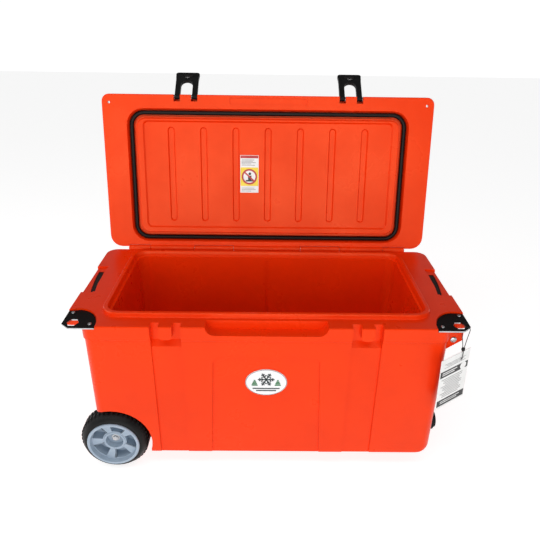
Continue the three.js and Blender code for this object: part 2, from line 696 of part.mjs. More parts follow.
// U-shaped tube that hangs in its nest, with a flattened eye at each end.
function towFrame() {
  const eyeFront = LUG_Y + LUG_THICKNESS + 2;
  const eyeWidth = 10;
  const armY = eyeFront + eyeWidth / 2 + 1;
  const rearY = 2 * BODY_MIDDLE_Y - armY;
  const bend = 30;
  const route = new THREE.CurvePath();
  const at = (y, z, x = TOW_NEST_X) => new THREE.Vector3(x, y, z);
  const shoulder = TOW_PIVOT.z - 46;
  const sideRoute = (y) => [at(y, TOW_PIVOT.z, TOW_PIVOT.x), at(y, TOW_PIVOT.z - 22, TOW_PIVOT.x - 3),
    at(y, shoulder + 12, TOW_NEST_X + 1), at(y, shoulder)];
  const rise = TOW_REACH_Z + bend;
  route.add(new THREE.CubicBezierCurve3(...sideRoute(armY)));
  route.add(new THREE.LineCurve3(at(armY, shoulder), at(armY, rise)));
  route.add(new THREE.QuadraticBezierCurve3(at(armY, rise), at(armY, TOW_REACH_Z),
    at(armY + bend, TOW_REACH_Z)));
  route.add(new THREE.LineCurve3(at(armY + bend, TOW_REACH_Z), at(rearY - bend, TOW_REACH_Z)));
  route.add(new THREE.QuadraticBezierCurve3(at(rearY - bend, TOW_REACH_Z), at(rearY, TOW_REACH_Z),
    at(rearY, rise)));
  route.add(new THREE.LineCurve3(at(rearY, rise), at(rearY, shoulder)));
  route.add(new THREE.CubicBezierCurve3(...sideRoute(rearY).reverse()));
  const eye = (from) => cylinder('y', 9, from, from + eyeWidth, TOW_PIVOT, 20);
  const rearEye = 2 * BODY_MIDDLE_Y - eyeFront - eyeWidth;
  return cut(
    join(tube(route, TOW_TUBE, 44, 8), eye(eyeFront), eye(rearEye)),
    cylinder('y', 4.3, 0, RIM_DEPTH, TOW_PIVOT, 16),
  );
}

function towGrip() {
  const halfLength = 118;
  const section = new THREE.Shape();
  section.absellipse(TOW_NEST_X, TOW_REACH_Z, 12, 14, 0, 2 * Math.PI);
  return cut(
    extrude(section, 'y', BODY_MIDDLE_Y - halfLength, BODY_MIDDLE_Y + halfLength, 12),
    cylinder('y', TOW_TUBE + 2 * GAP, 0, RIM_DEPTH, { x: TOW_NEST_X, z: TOW_REACH_Z }, 16),
  );
}

// Shoulder bolt through one lug and one eye, with its dome head outside and its nut inside.
function towBolt(front) {
  const head = LUG_Y - GAP;
  const shank = LUG_Y + LUG_THICKNESS + 14;
  const bolt = join(
    cylinder('y', 4, head - 1, shank + 5, TOW_PIVOT, 16),
    cylinder('y', 7, head - 2, head, TOW_PIVOT, 20),
    cylinder('y', 5, head - 3.4, head - 1, TOW_PIVOT, 20),
    cylinder('y', 6.5, shank, shank + 5, TOW_PIVOT, 6),
  );
  return front ? bolt : bolt.mirror([0, 1, 0]).translate([0, 2 * BODY_MIDDLE_Y, 0]);
}

cooler.add(piece('tow_handle_frame', towFrame(), BLACK_METAL));
cooler.add(piece('tow_handle_grip', towGrip(), BLACK_RUBBER));
cooler.add(piece('front_tow_bolt', towBolt(true), STEEL));
cooler.add(piece('rear_tow_bolt', towBolt(false), STEEL));

// The drain is a flanged bush through the end wall, closed by a screw cap on a rubber ring.
const DRAIN_FACE = BODY_HALF_LENGTH + GAP;
const drainBush = cut(
  join(cylinder('x', 16, 336, DRAIN_FACE + 1, DRAIN), cylinder('x', 23, DRAIN_FACE, DRAIN_FACE + 4,
    DRAIN)),
  cylinder('x', 10, 320, 420, DRAIN),
);
const drainRing = cut(cylinder('x', 21, DRAIN_FACE + 4 + GAP, DRAIN_FACE + 6, DRAIN),
  cylinder('x', 12, DRAIN_FACE, DRAIN_FACE + 8, DRAIN));
const capFace = DRAIN_FACE + 6 + GAP;
const drainCap = cut(
  join(cylinder('x', 9.5, capFace - 22, capFace + 2, DRAIN), cylinder('x', 25, capFace, capFace + 12,
    DRAIN, 32), cylinder('x', 20, capFace + 11, capFace + 18, DRAIN, 32)),
  ...[0, 1, 2, 3, 4, 5].map((i) => {
    const angle = i * Math.PI / 3;
    return cylinder('x', 4, capFace - 1, capFace + EPS, {
      y: DRAIN.y + 27 * Math.cos(angle), z: DRAIN.z + 27 * Math.sin(angle),
    }, 12);
  }),
);
cooler.add(piece('drain_bush', drainBush, BLACK_PLASTIC));
cooler.add(piece('drain_ring', drainRing, BLACK_RUBBER));
cooler.add(piece('drain_cap', drainCap, BLACK_PLASTIC));

// ---------------------------------------------------------------- lid

// Everything on the lid is drawn closed, in a frame whose origin is on the hinge axis.
const lid = new THREE.Group();
lid.position.set(0, HINGE_Y, HINGE_Z);
lid.rotation.x = -THREE.MathUtils.degToRad(LID_OPEN_DEG);
cooler.add(lid);

const LID_TOP = LID_UNDERSIDE + LID_THICKNESS;
const LID_AXIS = { y: 0, z: 0 };
const GROOVE_TOP = LID_UNDERSIDE + 18.5;
const PANEL = { x: 334, front: -350, rear: -62, radius: 14 };
const LOCK_HOLE = { x: 423, y: -395 };
const LID_FILL = { x: 120, z: 34 };

function lidBlank() {
  const outline = (inset) => roundedRectangle(-LID_HALF_LENGTH + inset, LID_FRONT + inset,
    LID_HALF_LENGTH - inset, LID_REAR - inset * 0.4, [20, 20, 32, 32]);
  const upper = (inset) => roundedRectangle(-LID_HALF_LENGTH + 8 + inset, LID_FRONT + 8 + inset,
    LID_HALF_LENGTH - 8 - inset, LID_REAR - inset * 0.5, [18, 18, 30, 30]);
  return join(
    loft([
      { z: LID_UNDERSIDE, outline: outline(1.5) },
      { z: LID_UNDERSIDE + 1.5, outline: outline(0) },
      { z: LID_UNDERSIDE + LID_FLANGE - 3, outline: outline(1) },
      { z: LID_UNDERSIDE + LID_FLANGE, outline: outline(4) },
    ]),
    loft([
      { z: LID_UNDERSIDE + LID_FLANGE - 6, outline: upper(0) },
      { z: LID_TOP - 10, outline: upper(2) },
      { z: LID_TOP - 4, outline: upper(5) },
      { z: LID_TOP, outline: upper(12) },
    ]),
  );
}

// Each front corner of the lid is thinned to a tab, so that a padlock passes through its hole.
function lockTabCut() {
  const shape = polygon([[LID_HALF_LENGTH + EPS, LID_FRONT - EPS], [LID_HALF_LENGTH + EPS, -368],
    [408, -374], [398, LID_FRONT + 18], [396, LID_FRONT - EPS]]);
  return extrude(shape, 'z', LID_UNDERSIDE + 10, LID_TOP + EPS);
}

function grooveCut() {
  return cut(
    loft([
      { z: LID_UNDERSIDE - EPS, outline: ringOutline(GASKET, 11) },
      { z: LID_UNDERSIDE, outline: ringOutline(GASKET, 11) },
      { z: LID_UNDERSIDE + 5, outline: ringOutline(GASKET, 8) },
      { z: GROOVE_TOP, outline: ringOutline(GASKET, 6.4) },
    ]),
    prism(ringOutline(PLUG, -0.2), LID_UNDERSIDE - 2 * EPS, LID_TOP),
  );
}

// The plug drops into the mouth of the cavity when the lid is shut, and clears its walls all round.
function plug() {
  return loft([
    { z: LID_UNDERSIDE - PLUG.drop, outline: ringOutline(PLUG, -6.5) },
    { z: LID_UNDERSIDE - PLUG.drop + 3, outline: ringOutline(PLUG, -3.8) },
    { z: LID_UNDERSIDE - 4, outline: ringOutline(PLUG, -3.5) },
    { z: GROOVE_TOP + 2, outline: ringOutline(PLUG, 0) },
  ]);
}

function panelCut() {
  const base = LID_UNDERSIDE - PLUG.drop;
  return loft([
    { z: base - EPS, outline: ringOutline(PANEL, 0) },
    { z: base, outline: ringOutline(PANEL, 0) },
    { z: base + 4, outline: ringOutline(PANEL, -4) },
  ]);
}

// Seven long grooves stiffen the lid's inner panel.
function stiffeningGrooves() {
  const pitch = 86.5;
  const base = LID_UNDERSIDE - PLUG.drop + 4;
  return [-3, -2, -1, 0, 1, 2, 3].map((i) => {
    const outline = (grow) => roundedRectangle(i * pitch - 9.5 - grow, -334 - grow,
      i * pitch + 9.5 + grow, -80 + grow, Array(4).fill(9.4 + grow), 4);
    return loft([{ z: base - EPS, outline: outline(0) }, { z: base, outline: outline(0) },
      { z: base + 4, outline: outline(-3) }]);
  });
}

function latchNotches(centre) {
  const cutter = (x) => block(x - 8.5, x + 8.5, LID_FRONT - EPS, LATCH_PIN_Y + 12,
    LID_UNDERSIDE - EPS, LATCH_PIN_Z + 24);
  return [cutter(centre - 23), cutter(centre + 23)];
}

function lidKnuckles() {
  return LID_KNUCKLES.flatMap(([from, to]) => [
    cylinder('x', HINGE_KNUCKLE, from, to, LID_AXIS),
    block(from, to, LID_REAR - 8, 0, LID_UNDERSIDE + 0.5, HINGE_KNUCKLE),
  ]);
}

function lidFoamSpace(inset) {
  const ring = { x: 400 - inset, front: LID_FRONT + 40 + inset, rear: LID_REAR - 8 - inset, radius: 30 };
  return loft([
    { z: GROOVE_TOP + 4 + inset, outline: ringOutline(ring) },
    { z: LID_TOP - 12 - inset, outline: ringOutline(ring) },
  ]);
}

// Shallow mouldings in the top of the lid: a seat pad outline and two strap grooves.
function topCuts() {
  const strap = (x) => block(x - 27, x + 27, LID_FRONT - EPS, LID_REAR + EPS, LID_TOP - 3,
    LID_TOP + EPS);
  const pad = { x: 240, front: LID_FRONT + 45, rear: LID_REAR - 45, radius: 24 };
  return [strap(-330), strap(330), prism(ringOutline(pad), LID_TOP - 3, LID_TOP + EPS)];
}

function lidShell() {
  const bar = roundedRectangle(-104, -411, 104, -393, [6, 6, 6, 6], 4);
  return cut(
    join(cut(lidBlank(), grooveCut(), lockTabCut(), mirroredInX(lockTabCut()), ...topCuts()),
      plug(), ...lidKnuckles()),
    panelCut(),
    ...stiffeningGrooves(),
    prism(bar, LID_UNDERSIDE - EPS, LID_UNDERSIDE + 4),
    ...latchNotches(-LATCH_X),
    ...latchNotches(LATCH_X),
    ...[-1, 1].map((side) => cylinder('x', 2.8, side * LATCH_X - 39, side * LATCH_X + 39,
      { y: LATCH_PIN_Y, z: LATCH_PIN_Z }, 12)),
    ...[-1, 1].map((side) => cylinder('z', 3.5, -EPS, LID_TOP,
      { x: side * LOCK_HOLE.x, y: LOCK_HOLE.y }, 20)),
    ...BODY_KNUCKLES.map(([from, to]) => cylinder('x', HINGE_KNUCKLE + 1, from - 1, to + 1,
      LID_AXIS)),
    cylinder('x', HINGE_ROD + GAP, -400, 400, LID_AXIS, 16),
    cylinder('y', 10 + GAP, -40, EPS, LID_FILL),
    lidFoamSpace(0),
  );
}

lid.add(piece('lid_shell', lidShell(), ORANGE));

const lidFoam = cut(lidFoamSpace(GAP), cylinder('y', 10 + GAP, -24, EPS, LID_FILL));
lid.add(piece('lid_foam_core', lidFoam, FOAM));

const lidPlug = join(cylinder('y', 10, -20, LID_REAR + 1, LID_FILL),
  cylinder('y', 14, LID_REAR + GAP, LID_REAR + 2.5, LID_FILL));
lid.add(piece('lid_fill_plug', lidPlug, BLACK_PLASTIC));

// Round rubber seal that lies in the lid's groove and meets the body's lip.
function gasket() {
  const centreZ = GROOVE_TOP - GAP - GASKET.tube;
  const sides = 10;
  const count = ringOutline(GASKET).length;
  const positions = [];
  const indices = [];
  for (let s = 0; s < sides; s++) {
    const angle = (s / sides) * 2 * Math.PI;
    const z = centreZ + GASKET.tube * Math.sin(angle);
    for (const p of ringOutline(GASKET, GASKET.tube * Math.cos(angle))) positions.push(p.x, p.y, z);
  }
  for (let s = 0; s < sides; s++) {
    for (let i = 0; i < count; i++) {
      const [a, b] = [s * count + i, s * count + (i + 1) % count];
      const [c, d] = [((s + 1) % sides) * count + i, ((s + 1) % sides) * count + (i + 1) % count];
      indices.push(a, b, d, a, d, c);
    }
  }
  const geometry = new THREE.BufferGeometry();
  geometry.setAttribute('position', new THREE.Float32BufferAttribute(positions, 3));
  geometry.setIndex(indices);
  return solid(geometry);
}
lid.add(piece('lid_gasket', gasket(), BLACK_RUBBER));

const labelBase = LID_UNDERSIDE - PLUG.drop + 4 - GAP;
lid.add(piece('care_label', block(-75, -25, -262, -161, labelBase - 0.8, labelBase), WHITE_LABEL));

// ---------------------------------------------------------------- latches

// One latch hangs from its pin, with its arch round the keeper and a pull at the bottom. Its lower end
// is thinner at the back, where it lies against the front wall.
function latch() {
  const shape = new THREE.Shape();
  shape.moveTo(-30, 0);
  shape.lineTo(-30, -58);
  shape.lineTo(-32, -78);
  shape.quadraticCurveTo(-32, -85, -24, -85);
  shape.lineTo(24, -85);
  shape.quadraticCurveTo(32, -85, 32, -78);
  shape.lineTo(30, -58);
  shape.lineTo(30, 0);
  shape.lineTo(16, 0);
  shape.lineTo(16, -38);
  shape.absarc(0, -38, 16, 0, Math.PI, true);
  shape.lineTo(-16, 0);
  const pull = new THREE.Path();
  pull.moveTo(-15, -77);
  pull.lineTo(15, -77);
  pull.quadraticCurveTo(9, -63, 0, -63);
  pull.quadraticCurveTo(-9, -63, -15, -77);
  shape.holes.push(pull);
  const eye = (from) => cylinder('x', 6.5, from, from + 14, LID_AXIS, 16);
  const thumb = new THREE.Shape(roundedRectangle(-31, -85, 31, -79, [3, 3, 1, 1], 3));
  const thinned = polygon([[0.8, -90], [0.8, -71], [5, -66], [EPS, -66], [EPS, -90]]);
  return cut(
    join(extrude(shape, 'y', -5.5, 4.5), eye(-30), eye(16), extrude(thumb, 'y', -9, -5)),
    cylinder('x', 2.8, -40, 40, LID_AXIS, 12),
    extrude(thinned, 'x', -40, 40),
  );
}

for (const [side, sign] of [['left', -1], ['right', 1]]) {
  const arm = new THREE.Group();
  arm.position.set(sign * LATCH_X, LATCH_PIN_Y, LATCH_PIN_Z);
  lid.add(arm);
  const pin = cylinder('x', 2.5, -37, 37, LID_AXIS, 12);
  arm.add(piece(`${side}_latch_pin`, pin, STEEL));
  const swung = piece(`${side}_latch`, latch(), BLACK_PLASTIC);
  swung.rotation.x = -THREE.MathUtils.degToRad(LATCH_OPEN_DEG);
  arm.add(swung);
}

// ---------------------------------------------------------------- origin

const footprint = new THREE.Box3().setFromObject(cooler);
cooler.position.y = -(footprint.min.y + footprint.max.y) / 2;

// ---------------------------------------------------------------- hang tag

// One thin string goes from the plate's hexagon down to the card, through its hole and back up over
// the tip of the plate. Its route is x and y, and z from the top of the rim.
const STRING_RADIUS = 0.8;
const STRING_ROUTE = [
  [425, 12.5, -7.8], [427, 8.5, -20], [430.2, 1.6, -46], [430.4, 1.5, -56], [430.4, 2, -66],
  [430.5, 1.8, -72.5], [431.3, 0, -75.3], [432.1, -1.8, -72.5], [432.2, -2, -66],
  [432.2, -1.5, -56], [432.6, -1, -46], [438, 5, -22],
  [442.8, 10.4, -7.4], [442.1, 11.4, -4.2], [440, 13.2, -2.4], [435, 15.8, -2.3], [430.5, 17, -3.6],
];
const stringCurve = new THREE.CatmullRomCurve3(
  STRING_ROUTE.map(([x, y, z]) => new THREE.Vector3(x, y, RIM_Z + z)));
cooler.add(piece('tag_string', tube(stringCurve, STRING_RADIUS, 52, 8), BLACK_RUBBER));

const CARD_HOLE = { x: 431.3, y: 0, z: RIM_Z - 74 };
const knotRing = [[2.9, 21], [4.3, 23], [4.3, 27], [2.9, 29]];
const knot = piece('tag_knot', ringAboutY(knotRing, 12), BLACK_RUBBER);
knot.rotation.x = Math.PI / 2;
knot.position.set(CARD_HOLE.x, CARD_HOLE.y, CARD_HOLE.z);
cooler.add(knot);

const tag = new THREE.Group();
tag.position.set(CARD_HOLE.x, CARD_HOLE.y, CARD_HOLE.z);
tag.rotation.set(0, THREE.MathUtils.degToRad(-3.5), THREE.MathUtils.degToRad(31), 'ZYX');
tag.add(piece('tag_card', cut(block(-64, 26, -0.6, 0.6, -119, 19),
  cylinder('y', 3.8, -2, 2, { x: 0, z: 0 }, 12)), CARD));
cooler.add(tag);

export default cooler;
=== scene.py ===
import math

import bpy
from mathutils import Matrix, Vector


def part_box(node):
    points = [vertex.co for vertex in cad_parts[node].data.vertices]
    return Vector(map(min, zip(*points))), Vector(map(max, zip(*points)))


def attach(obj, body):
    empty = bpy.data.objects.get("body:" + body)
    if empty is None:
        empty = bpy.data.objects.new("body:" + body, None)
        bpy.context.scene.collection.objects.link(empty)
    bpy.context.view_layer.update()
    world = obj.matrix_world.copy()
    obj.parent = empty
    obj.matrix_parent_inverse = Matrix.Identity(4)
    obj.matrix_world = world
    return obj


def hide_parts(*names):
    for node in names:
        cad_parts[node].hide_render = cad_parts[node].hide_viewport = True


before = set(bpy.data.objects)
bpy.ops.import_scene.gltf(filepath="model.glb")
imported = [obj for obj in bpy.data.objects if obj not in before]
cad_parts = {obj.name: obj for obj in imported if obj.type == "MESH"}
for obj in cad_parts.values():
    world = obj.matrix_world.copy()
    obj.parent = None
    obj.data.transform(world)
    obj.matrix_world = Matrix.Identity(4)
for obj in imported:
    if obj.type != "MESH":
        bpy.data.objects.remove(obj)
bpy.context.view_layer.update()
scene = bpy.context.scene

# ---- Camera
# A normal lens looks down at the open cooler from in front and a little to the left of its middle.
pitch, yaw, roll = math.radians(26.017), math.radians(0.654), math.radians(0.838)
forward = Vector((math.sin(yaw) * math.cos(pitch), math.cos(yaw) * math.cos(pitch),
                  -math.sin(pitch)))
level = Vector((math.cos(yaw), -math.sin(yaw), 0))
upright = level.cross(forward)
right = level * math.cos(roll) + upright * math.sin(roll)
up = upright * math.cos(roll) - level * math.sin(roll)
camera_data = bpy.data.cameras.new("studio_camera")
camera_data.sensor_width = 36
camera_data.lens = 526.81 / 540 * 36
camera = bpy.data.objects.new("studio_camera", camera_data)
scene.collection.objects.link(camera)
camera.matrix_world = Matrix((
    (right.x, up.x, -forward.x, -0.006096),
    (right.y, up.y, -forward.y, -1.243117),
    (right.z, up.z, -forward.z, 1.013956),
    (0, 0, 0, 1),
))
scene.camera = camera

# ---- Tag string
# Thin black cord with a knot. It drops from the hexagon of the right-hand corner plate to the tag,
# passes through the hole in the card and comes back up over the tip of the plate.


def new_material(name, **constants):
    """A material with a Principled shader whose named sockets are set to these constants."""
    made = bpy.data.materials.new(name)
    made.use_nodes = True
    shader = made.node_tree.nodes["Principled BSDF"]
    for socket, value in constants.items():
        shader.inputs[socket.replace("_", " ")].default_value = value
    return made


def add_node(tree, kind, **settings):
    """A node of that kind; a setting is a property of the node, or else one of its inputs."""
    made = tree.nodes.new(kind)
    for name, value in settings.items():
        if hasattr(made, name):
            setattr(made, name, value)
        else:
            made.inputs[name.replace("_", " ")].default_value = value
    return made


def surface_group():
    """Moulded or cast surface: two colours in soft patches, an uneven gloss and a fine grain."""
    tree = bpy.data.node_groups.new("moulded_surface", "ShaderNodeTree")
    for name, kind, value in (
            ("Colour", "NodeSocketColor", (1, 1, 1, 1)),
            ("Patch Colour", "NodeSocketColor", (1, 1, 1, 1)),
            ("Patch Scale", "NodeSocketFloat", 8), ("Gloss Low", "NodeSocketFloat", 0.3),
            ("Gloss High", "NodeSocketFloat", 0.5), ("Grain Scale", "NodeSocketFloat", 600),
            ("Grain Depth", "NodeSocketFloat", 0.2)):
        socket = tree.interface.new_socket(name, in_out="INPUT", socket_type=kind)
        socket.default_value = value
    for name, kind in (("Colour", "NodeSocketColor"), ("Roughness", "NodeSocketFloat"),
                       ("Height", "NodeSocketFloat")):
        tree.interface.new_socket(name, in_out="OUTPUT", socket_type=kind)
    given, out = tree.nodes.new("NodeGroupInput"), tree.nodes.new("NodeGroupOutput")
    place = tree.nodes.new("ShaderNodeTexCoord").outputs["Object"]
    patches = add_node(tree, "ShaderNodeTexNoise", Detail=4.0, Roughness=0.6)
    grain = add_node(tree, "ShaderNodeTexNoise", Detail=2.0, Roughness=0.5)
    spread = add_node(tree, "ShaderNodeMapRange", From_Min=0.35, From_Max=0.65)
    tint = add_node(tree, "ShaderNodeMix", data_type="RGBA")
    gloss = add_node(tree, "ShaderNodeMapRange")
    deep = add_node(tree, "ShaderNodeMath", operation="MULTIPLY")
    link = tree.links.new
    link(place, patches.inputs["Vector"])
    link(place, grain.inputs["Vector"])
    link(given.outputs["Patch Scale"], patches.inputs["Scale"])
    link(given.outputs["Grain Scale"], grain.inputs["Scale"])
    link(patches.outputs["Fac"], spread.inputs["Value"])
    link(spread.outputs["Result"], tint.inputs["Factor"])
    link(given.outputs["Colour"], tint.inputs["A"])
    link(given.outputs["Patch Colour"], tint.inputs["B"])
    link(tint.outputs["Result"], out.inputs["Colour"])
    link(spread.outputs["Result"], gloss.inputs["Value"])
    link(given.outputs["Gloss Low"], gloss.inputs["To Min"])
    link(given.outputs["Gloss High"], gloss.inputs["To Max"])
    link(gloss.outputs["Result"], out.inputs["Roughness"])
    link(grain.outputs["Fac"], deep.inputs[0])
    link(given.outputs["Grain Depth"], deep.inputs[1])
    link(deep.outputs["Value"], out.inputs["Height"])
    return tree


SURFACE = surface_group()


def moulded(name, colour, patch_colour, gloss, patch_scale=9.0, grain=600.0, depth=0.2, **constants):
    """A material with the moulded surface, in its own colours, gloss and grain."""
    made = new_material(name, **constants)
    tree = made.node_tree
    shader = tree.nodes["Principled BSDF"]
    face = tree.nodes.new("ShaderNodeGroup")
    face.node_tree = SURFACE
    for socket, value in (("Colour", (*colour, 1)), ("Patch Colour", (*patch_colour, 1)),
                          ("Patch Scale", patch_scale), ("Gloss Low", gloss[0]),
                          ("Gloss High", gloss[1]), ("Grain Scale", grain), ("Grain Depth", depth)):
        face.inputs[socket].default_value = value
    bump = add_node(tree, "ShaderNodeBump", Strength=0.35, Distance=0.0006)
    tree.links.new(face.outputs["Colour"], shader.inputs["Base Color"])
    tree.links.new(face.outputs["Roughness"], shader.inputs["Roughness"])
    tree.links.new(face.outputs["Height"], bump.inputs["Height"])
    tree.links.new(bump.outputs["Normal"], shader.inputs["Normal"])
    return made


def settle(piece, name, body, material, slot, *nodes):
    """Names a finished piece, gives it its material and joins it to the frame."""
    piece.name = name
    piece.data.materials.clear()
    piece.data.materials.append(material)
    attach(piece, body)
    if nodes:
        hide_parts(*nodes)


def rotated(degrees, axis):
    """A turn about one axis."""
    return Matrix.Rotation(math.radians(degrees), 4, axis)


# The rim's front edge and its top, in the shared frame.
BUILD_Y = -0.282839
RIM_Z = 0.406
# The cord's route in mm from there, with x from the middle.
STRING_ROUTE = [
    (425, 12.5, -7.8), (427, 8.5, -20), (430.2, 1.6, -46), (430.4, 1.5, -56), (430.4, 2, -66),
    (430.5, 1.8, -72.5), (431.3, 0, -75.3), (432.1, -1.8, -72.5), (432.2, -2, -66),
    (432.2, -1.5, -56), (432.6, -1, -46), (438, 5, -22), (442.8, 10.4, -7.4), (442.1, 11.4, -4.2),
    (440, 13.2, -2.4), (435, 15.8, -2.3), (430.5, 17, -3.6)]
string_points = [Vector((x / 1000, y / 1000 + BUILD_Y, z / 1000 + RIM_Z)) for x, y, z in STRING_ROUTE]


def smooth_curve(name, points, radius):
    """A round cord or tube along a smooth line through these points."""
    data = bpy.data.curves.new(name, "CURVE")
    data.dimensions = "3D"
    data.resolution_u = 8
    data.bevel_depth = radius
    data.bevel_resolution = 4
    data.use_fill_caps = True
    line = data.splines.new("BEZIER")
    line.bezier_points.add(len(points) - 1)
    for i, at in enumerate(points):
        before, after = points[max(i - 1, 0)], points[min(i + 1, len(points) - 1)]
        slope = (after - before).normalized()
        knot = line.bezier_points[i]
        knot.co = at
        knot.handle_left = at - slope * (at - before).length / 3
        knot.handle_right = at + slope * (after - at).length / 3
    made = bpy.data.objects.new(name, data)
    scene.collection.objects.link(made)
    return made


BLACK_CORD = moulded("black_cord", (0.008, 0.008, 0.008), (0.016, 0.016, 0.016), (0.7, 0.9),
                     patch_scale=900.0, grain=2500.0, depth=1.0)
tag_string = smooth_curve("tag_string_cord", string_points, 0.0008)
settle(tag_string, "tag_string_cord", "cooler_body", BLACK_CORD, "black_cord", "tag_string")

# ---- Floor and light
# A pale seamless floor under soft studio lamps. The surround is bright low down and dims upwards.
bpy.ops.object.select_all(action="DESELECT")
bpy.ops.mesh.primitive_plane_add(size=14, location=(0, 2, -0.0005))
floor = bpy.context.object
floor.name = "studio_floor"
floor.data.materials.append(new_material("studio_floor", Base_Color=(0.5, 0.5, 0.5, 1),
                                         Roughness=0.9, Specular_IOR_Level=0.1,
                                         Emission_Color=(1, 1, 1, 1), Emission_Strength=0.8))
world = bpy.data.worlds.new("studio")
world.use_nodes = True
sky = world.node_tree
sky_way = sky.nodes.new("ShaderNodeTexCoord")
sky_axes = sky.nodes.new("ShaderNodeSeparateXYZ")
sky_fall = add_node(sky, "ShaderNodeMapRange", From_Min=0.03, From_Max=0.25, To_Min=1.05, To_Max=0.22)
sky.links.new(sky_way.outputs["Generated"], sky_axes.inputs["Vector"])
sky.links.new(sky_axes.outputs["Z"], sky_fall.inputs["Value"])
sky.links.new(sky_fall.outputs["Result"], sky.nodes["Background"].inputs["Strength"])
sky.nodes["Background"].inputs["Color"].default_value = (1, 1, 1, 1)
scene.world = world
scene.view_settings.view_transform = "Standard"
for name, place, target, size, power in (
        ("front_lamp", (-0.15, -2.6, 0.95), (0, 0, 0.6), (2.6, 1.3), 27),
        ("over_lamp", (-0.2, -1.1, 2.5), (0, 0, 0.4), (2.4, 0.5), 17),
        ("side_lamp", (-2.2, -0.4, 1.6), (0, 0, 0.4), (1.0, 1.0), 9)):
    lamp_data = bpy.data.lights.new(name, "AREA")
    lamp_data.shape = "RECTANGLE"
    lamp_data.size, lamp_data.size_y = size
    lamp_data.energy = power
    lamp = bpy.data.objects.new(name, lamp_data)
    scene.collection.objects.link(lamp)
    lamp.location = place
    lamp.rotation_euler = (Vector(target) - Vector(place)).to_track_quat("-Z", "Y").to_euler()

# ---- Body
# One hollow moulding of orange polyethylene, double-walled round a foam core, with its rim, lip, end
# flanges, feet, hinge knuckles and tow lugs. Its edges leave the mould well rounded.


def only(piece):
    """Leaves this piece selected and active, and nothing else."""
    bpy.ops.object.select_all(action="DESELECT")
    piece.select_set(True)
    bpy.context.view_layer.objects.active = piece


def merged_copy(node):
    """A copy of a CAD node's mesh with its loose triangles merged and its flat faces joined."""
    made = bpy.data.objects.new(node + "_copy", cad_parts[node].data.copy())
    scene.collection.objects.link(made)
    only(made)
    if made.data.has_custom_normals:
        bpy.ops.mesh.customdata_custom_splitnormals_clear()
    bpy.ops.object.mode_set(mode="EDIT")
    bpy.ops.mesh.select_all(action="SELECT")
    bpy.ops.mesh.remove_doubles(threshold=0.00002)
    bpy.ops.mesh.dissolve_limited(angle_limit=math.radians(1))
    bpy.ops.object.mode_set(mode="OBJECT")
    return made


def soften(piece, width, segments=3, angle=32):
    """Rounds the sharp edges of a piece and shades it smooth between them."""
    only(piece)
    bevel = piece.modifiers.new("rounded_edges", "BEVEL")
    bevel.width = width
    bevel.segments = segments
    bevel.limit_method = "ANGLE"
    bevel.angle_limit = math.radians(angle)
    bevel.use_clamp_overlap = True
    bevel.miter_outer = "MITER_ARC"
    weights = piece.modifiers.new("flat_faces_stay_flat", "WEIGHTED_NORMAL")
    weights.keep_sharp = True
    bpy.ops.object.modifier_apply(modifier="rounded_edges")
    bpy.ops.object.shade_smooth_by_angle(angle=math.radians(50))
    bpy.ops.object.modifier_apply(modifier="flat_faces_stay_flat")
    return piece


ORANGE = moulded("orange_polyethylene", (0.86, 0.034, 0.001), (0.8, 0.029, 0.001), (0.26, 0.36),
                 patch_scale=7.0, grain=1100.0, depth=0.3, Specular_IOR_Level=0.45,
                 Specular_Tint=(1, 0.6, 0.28, 1))
body = soften(merged_copy("body_shell"), 0.0022)
settle(body, "body_moulding", "cooler_body", ORANGE, "orange_shell", "body_shell")

# ---- Lid
# The second moulding, of the same plastic, open past upright on the hinge. Its inner panel drops into
# the cooler's mouth when it is shut.
lid = soften(merged_copy("lid_shell"), 0.0022)
settle(lid, "lid_moulding", "lid", ORANGE, "orange_shell", "lid_shell")

# ---- Gasket
# Round black rubber seal pressed into the lid's groove. It is one length, joined into a ring.
HINGE_Y, HINGE_Z, OPEN_DEG = 0.134161, 0.408, 100.4
LID_SEAT = Matrix.Translation((0, HINGE_Y, HINGE_Z)) @ rotated(-OPEN_DEG, "X")


def start_edit(piece, mode="VERT"):
    """Opens this piece alone for editing with everything selected."""
    only(piece)
    bpy.ops.object.mode_set(mode="EDIT")
    bpy.ops.mesh.select_mode(type=mode)
    bpy.ops.mesh.select_all(action="SELECT")


def end_edit():
    """Merges what touches, turns the faces out and closes the piece again."""
    bpy.ops.mesh.select_all(action="SELECT")
    bpy.ops.mesh.remove_doubles(threshold=0.00001)
    bpy.ops.mesh.normals_make_consistent(inside=False)
    bpy.ops.object.mode_set(mode="OBJECT")


def seat(piece, matrix=Matrix.Identity(4)):
    """Puts a piece's place into its mesh, turned and moved by the matrix."""
    bpy.context.view_layer.update()
    piece.data.transform(matrix @ piece.matrix_world)
    piece.matrix_world = Matrix.Identity(4)
    return piece


def shade(piece, degrees):
    """Shades a piece smooth but for the edges that turn by more than this."""
    only(piece)
    bpy.ops.object.shade_smooth_by_angle(angle=math.radians(degrees))


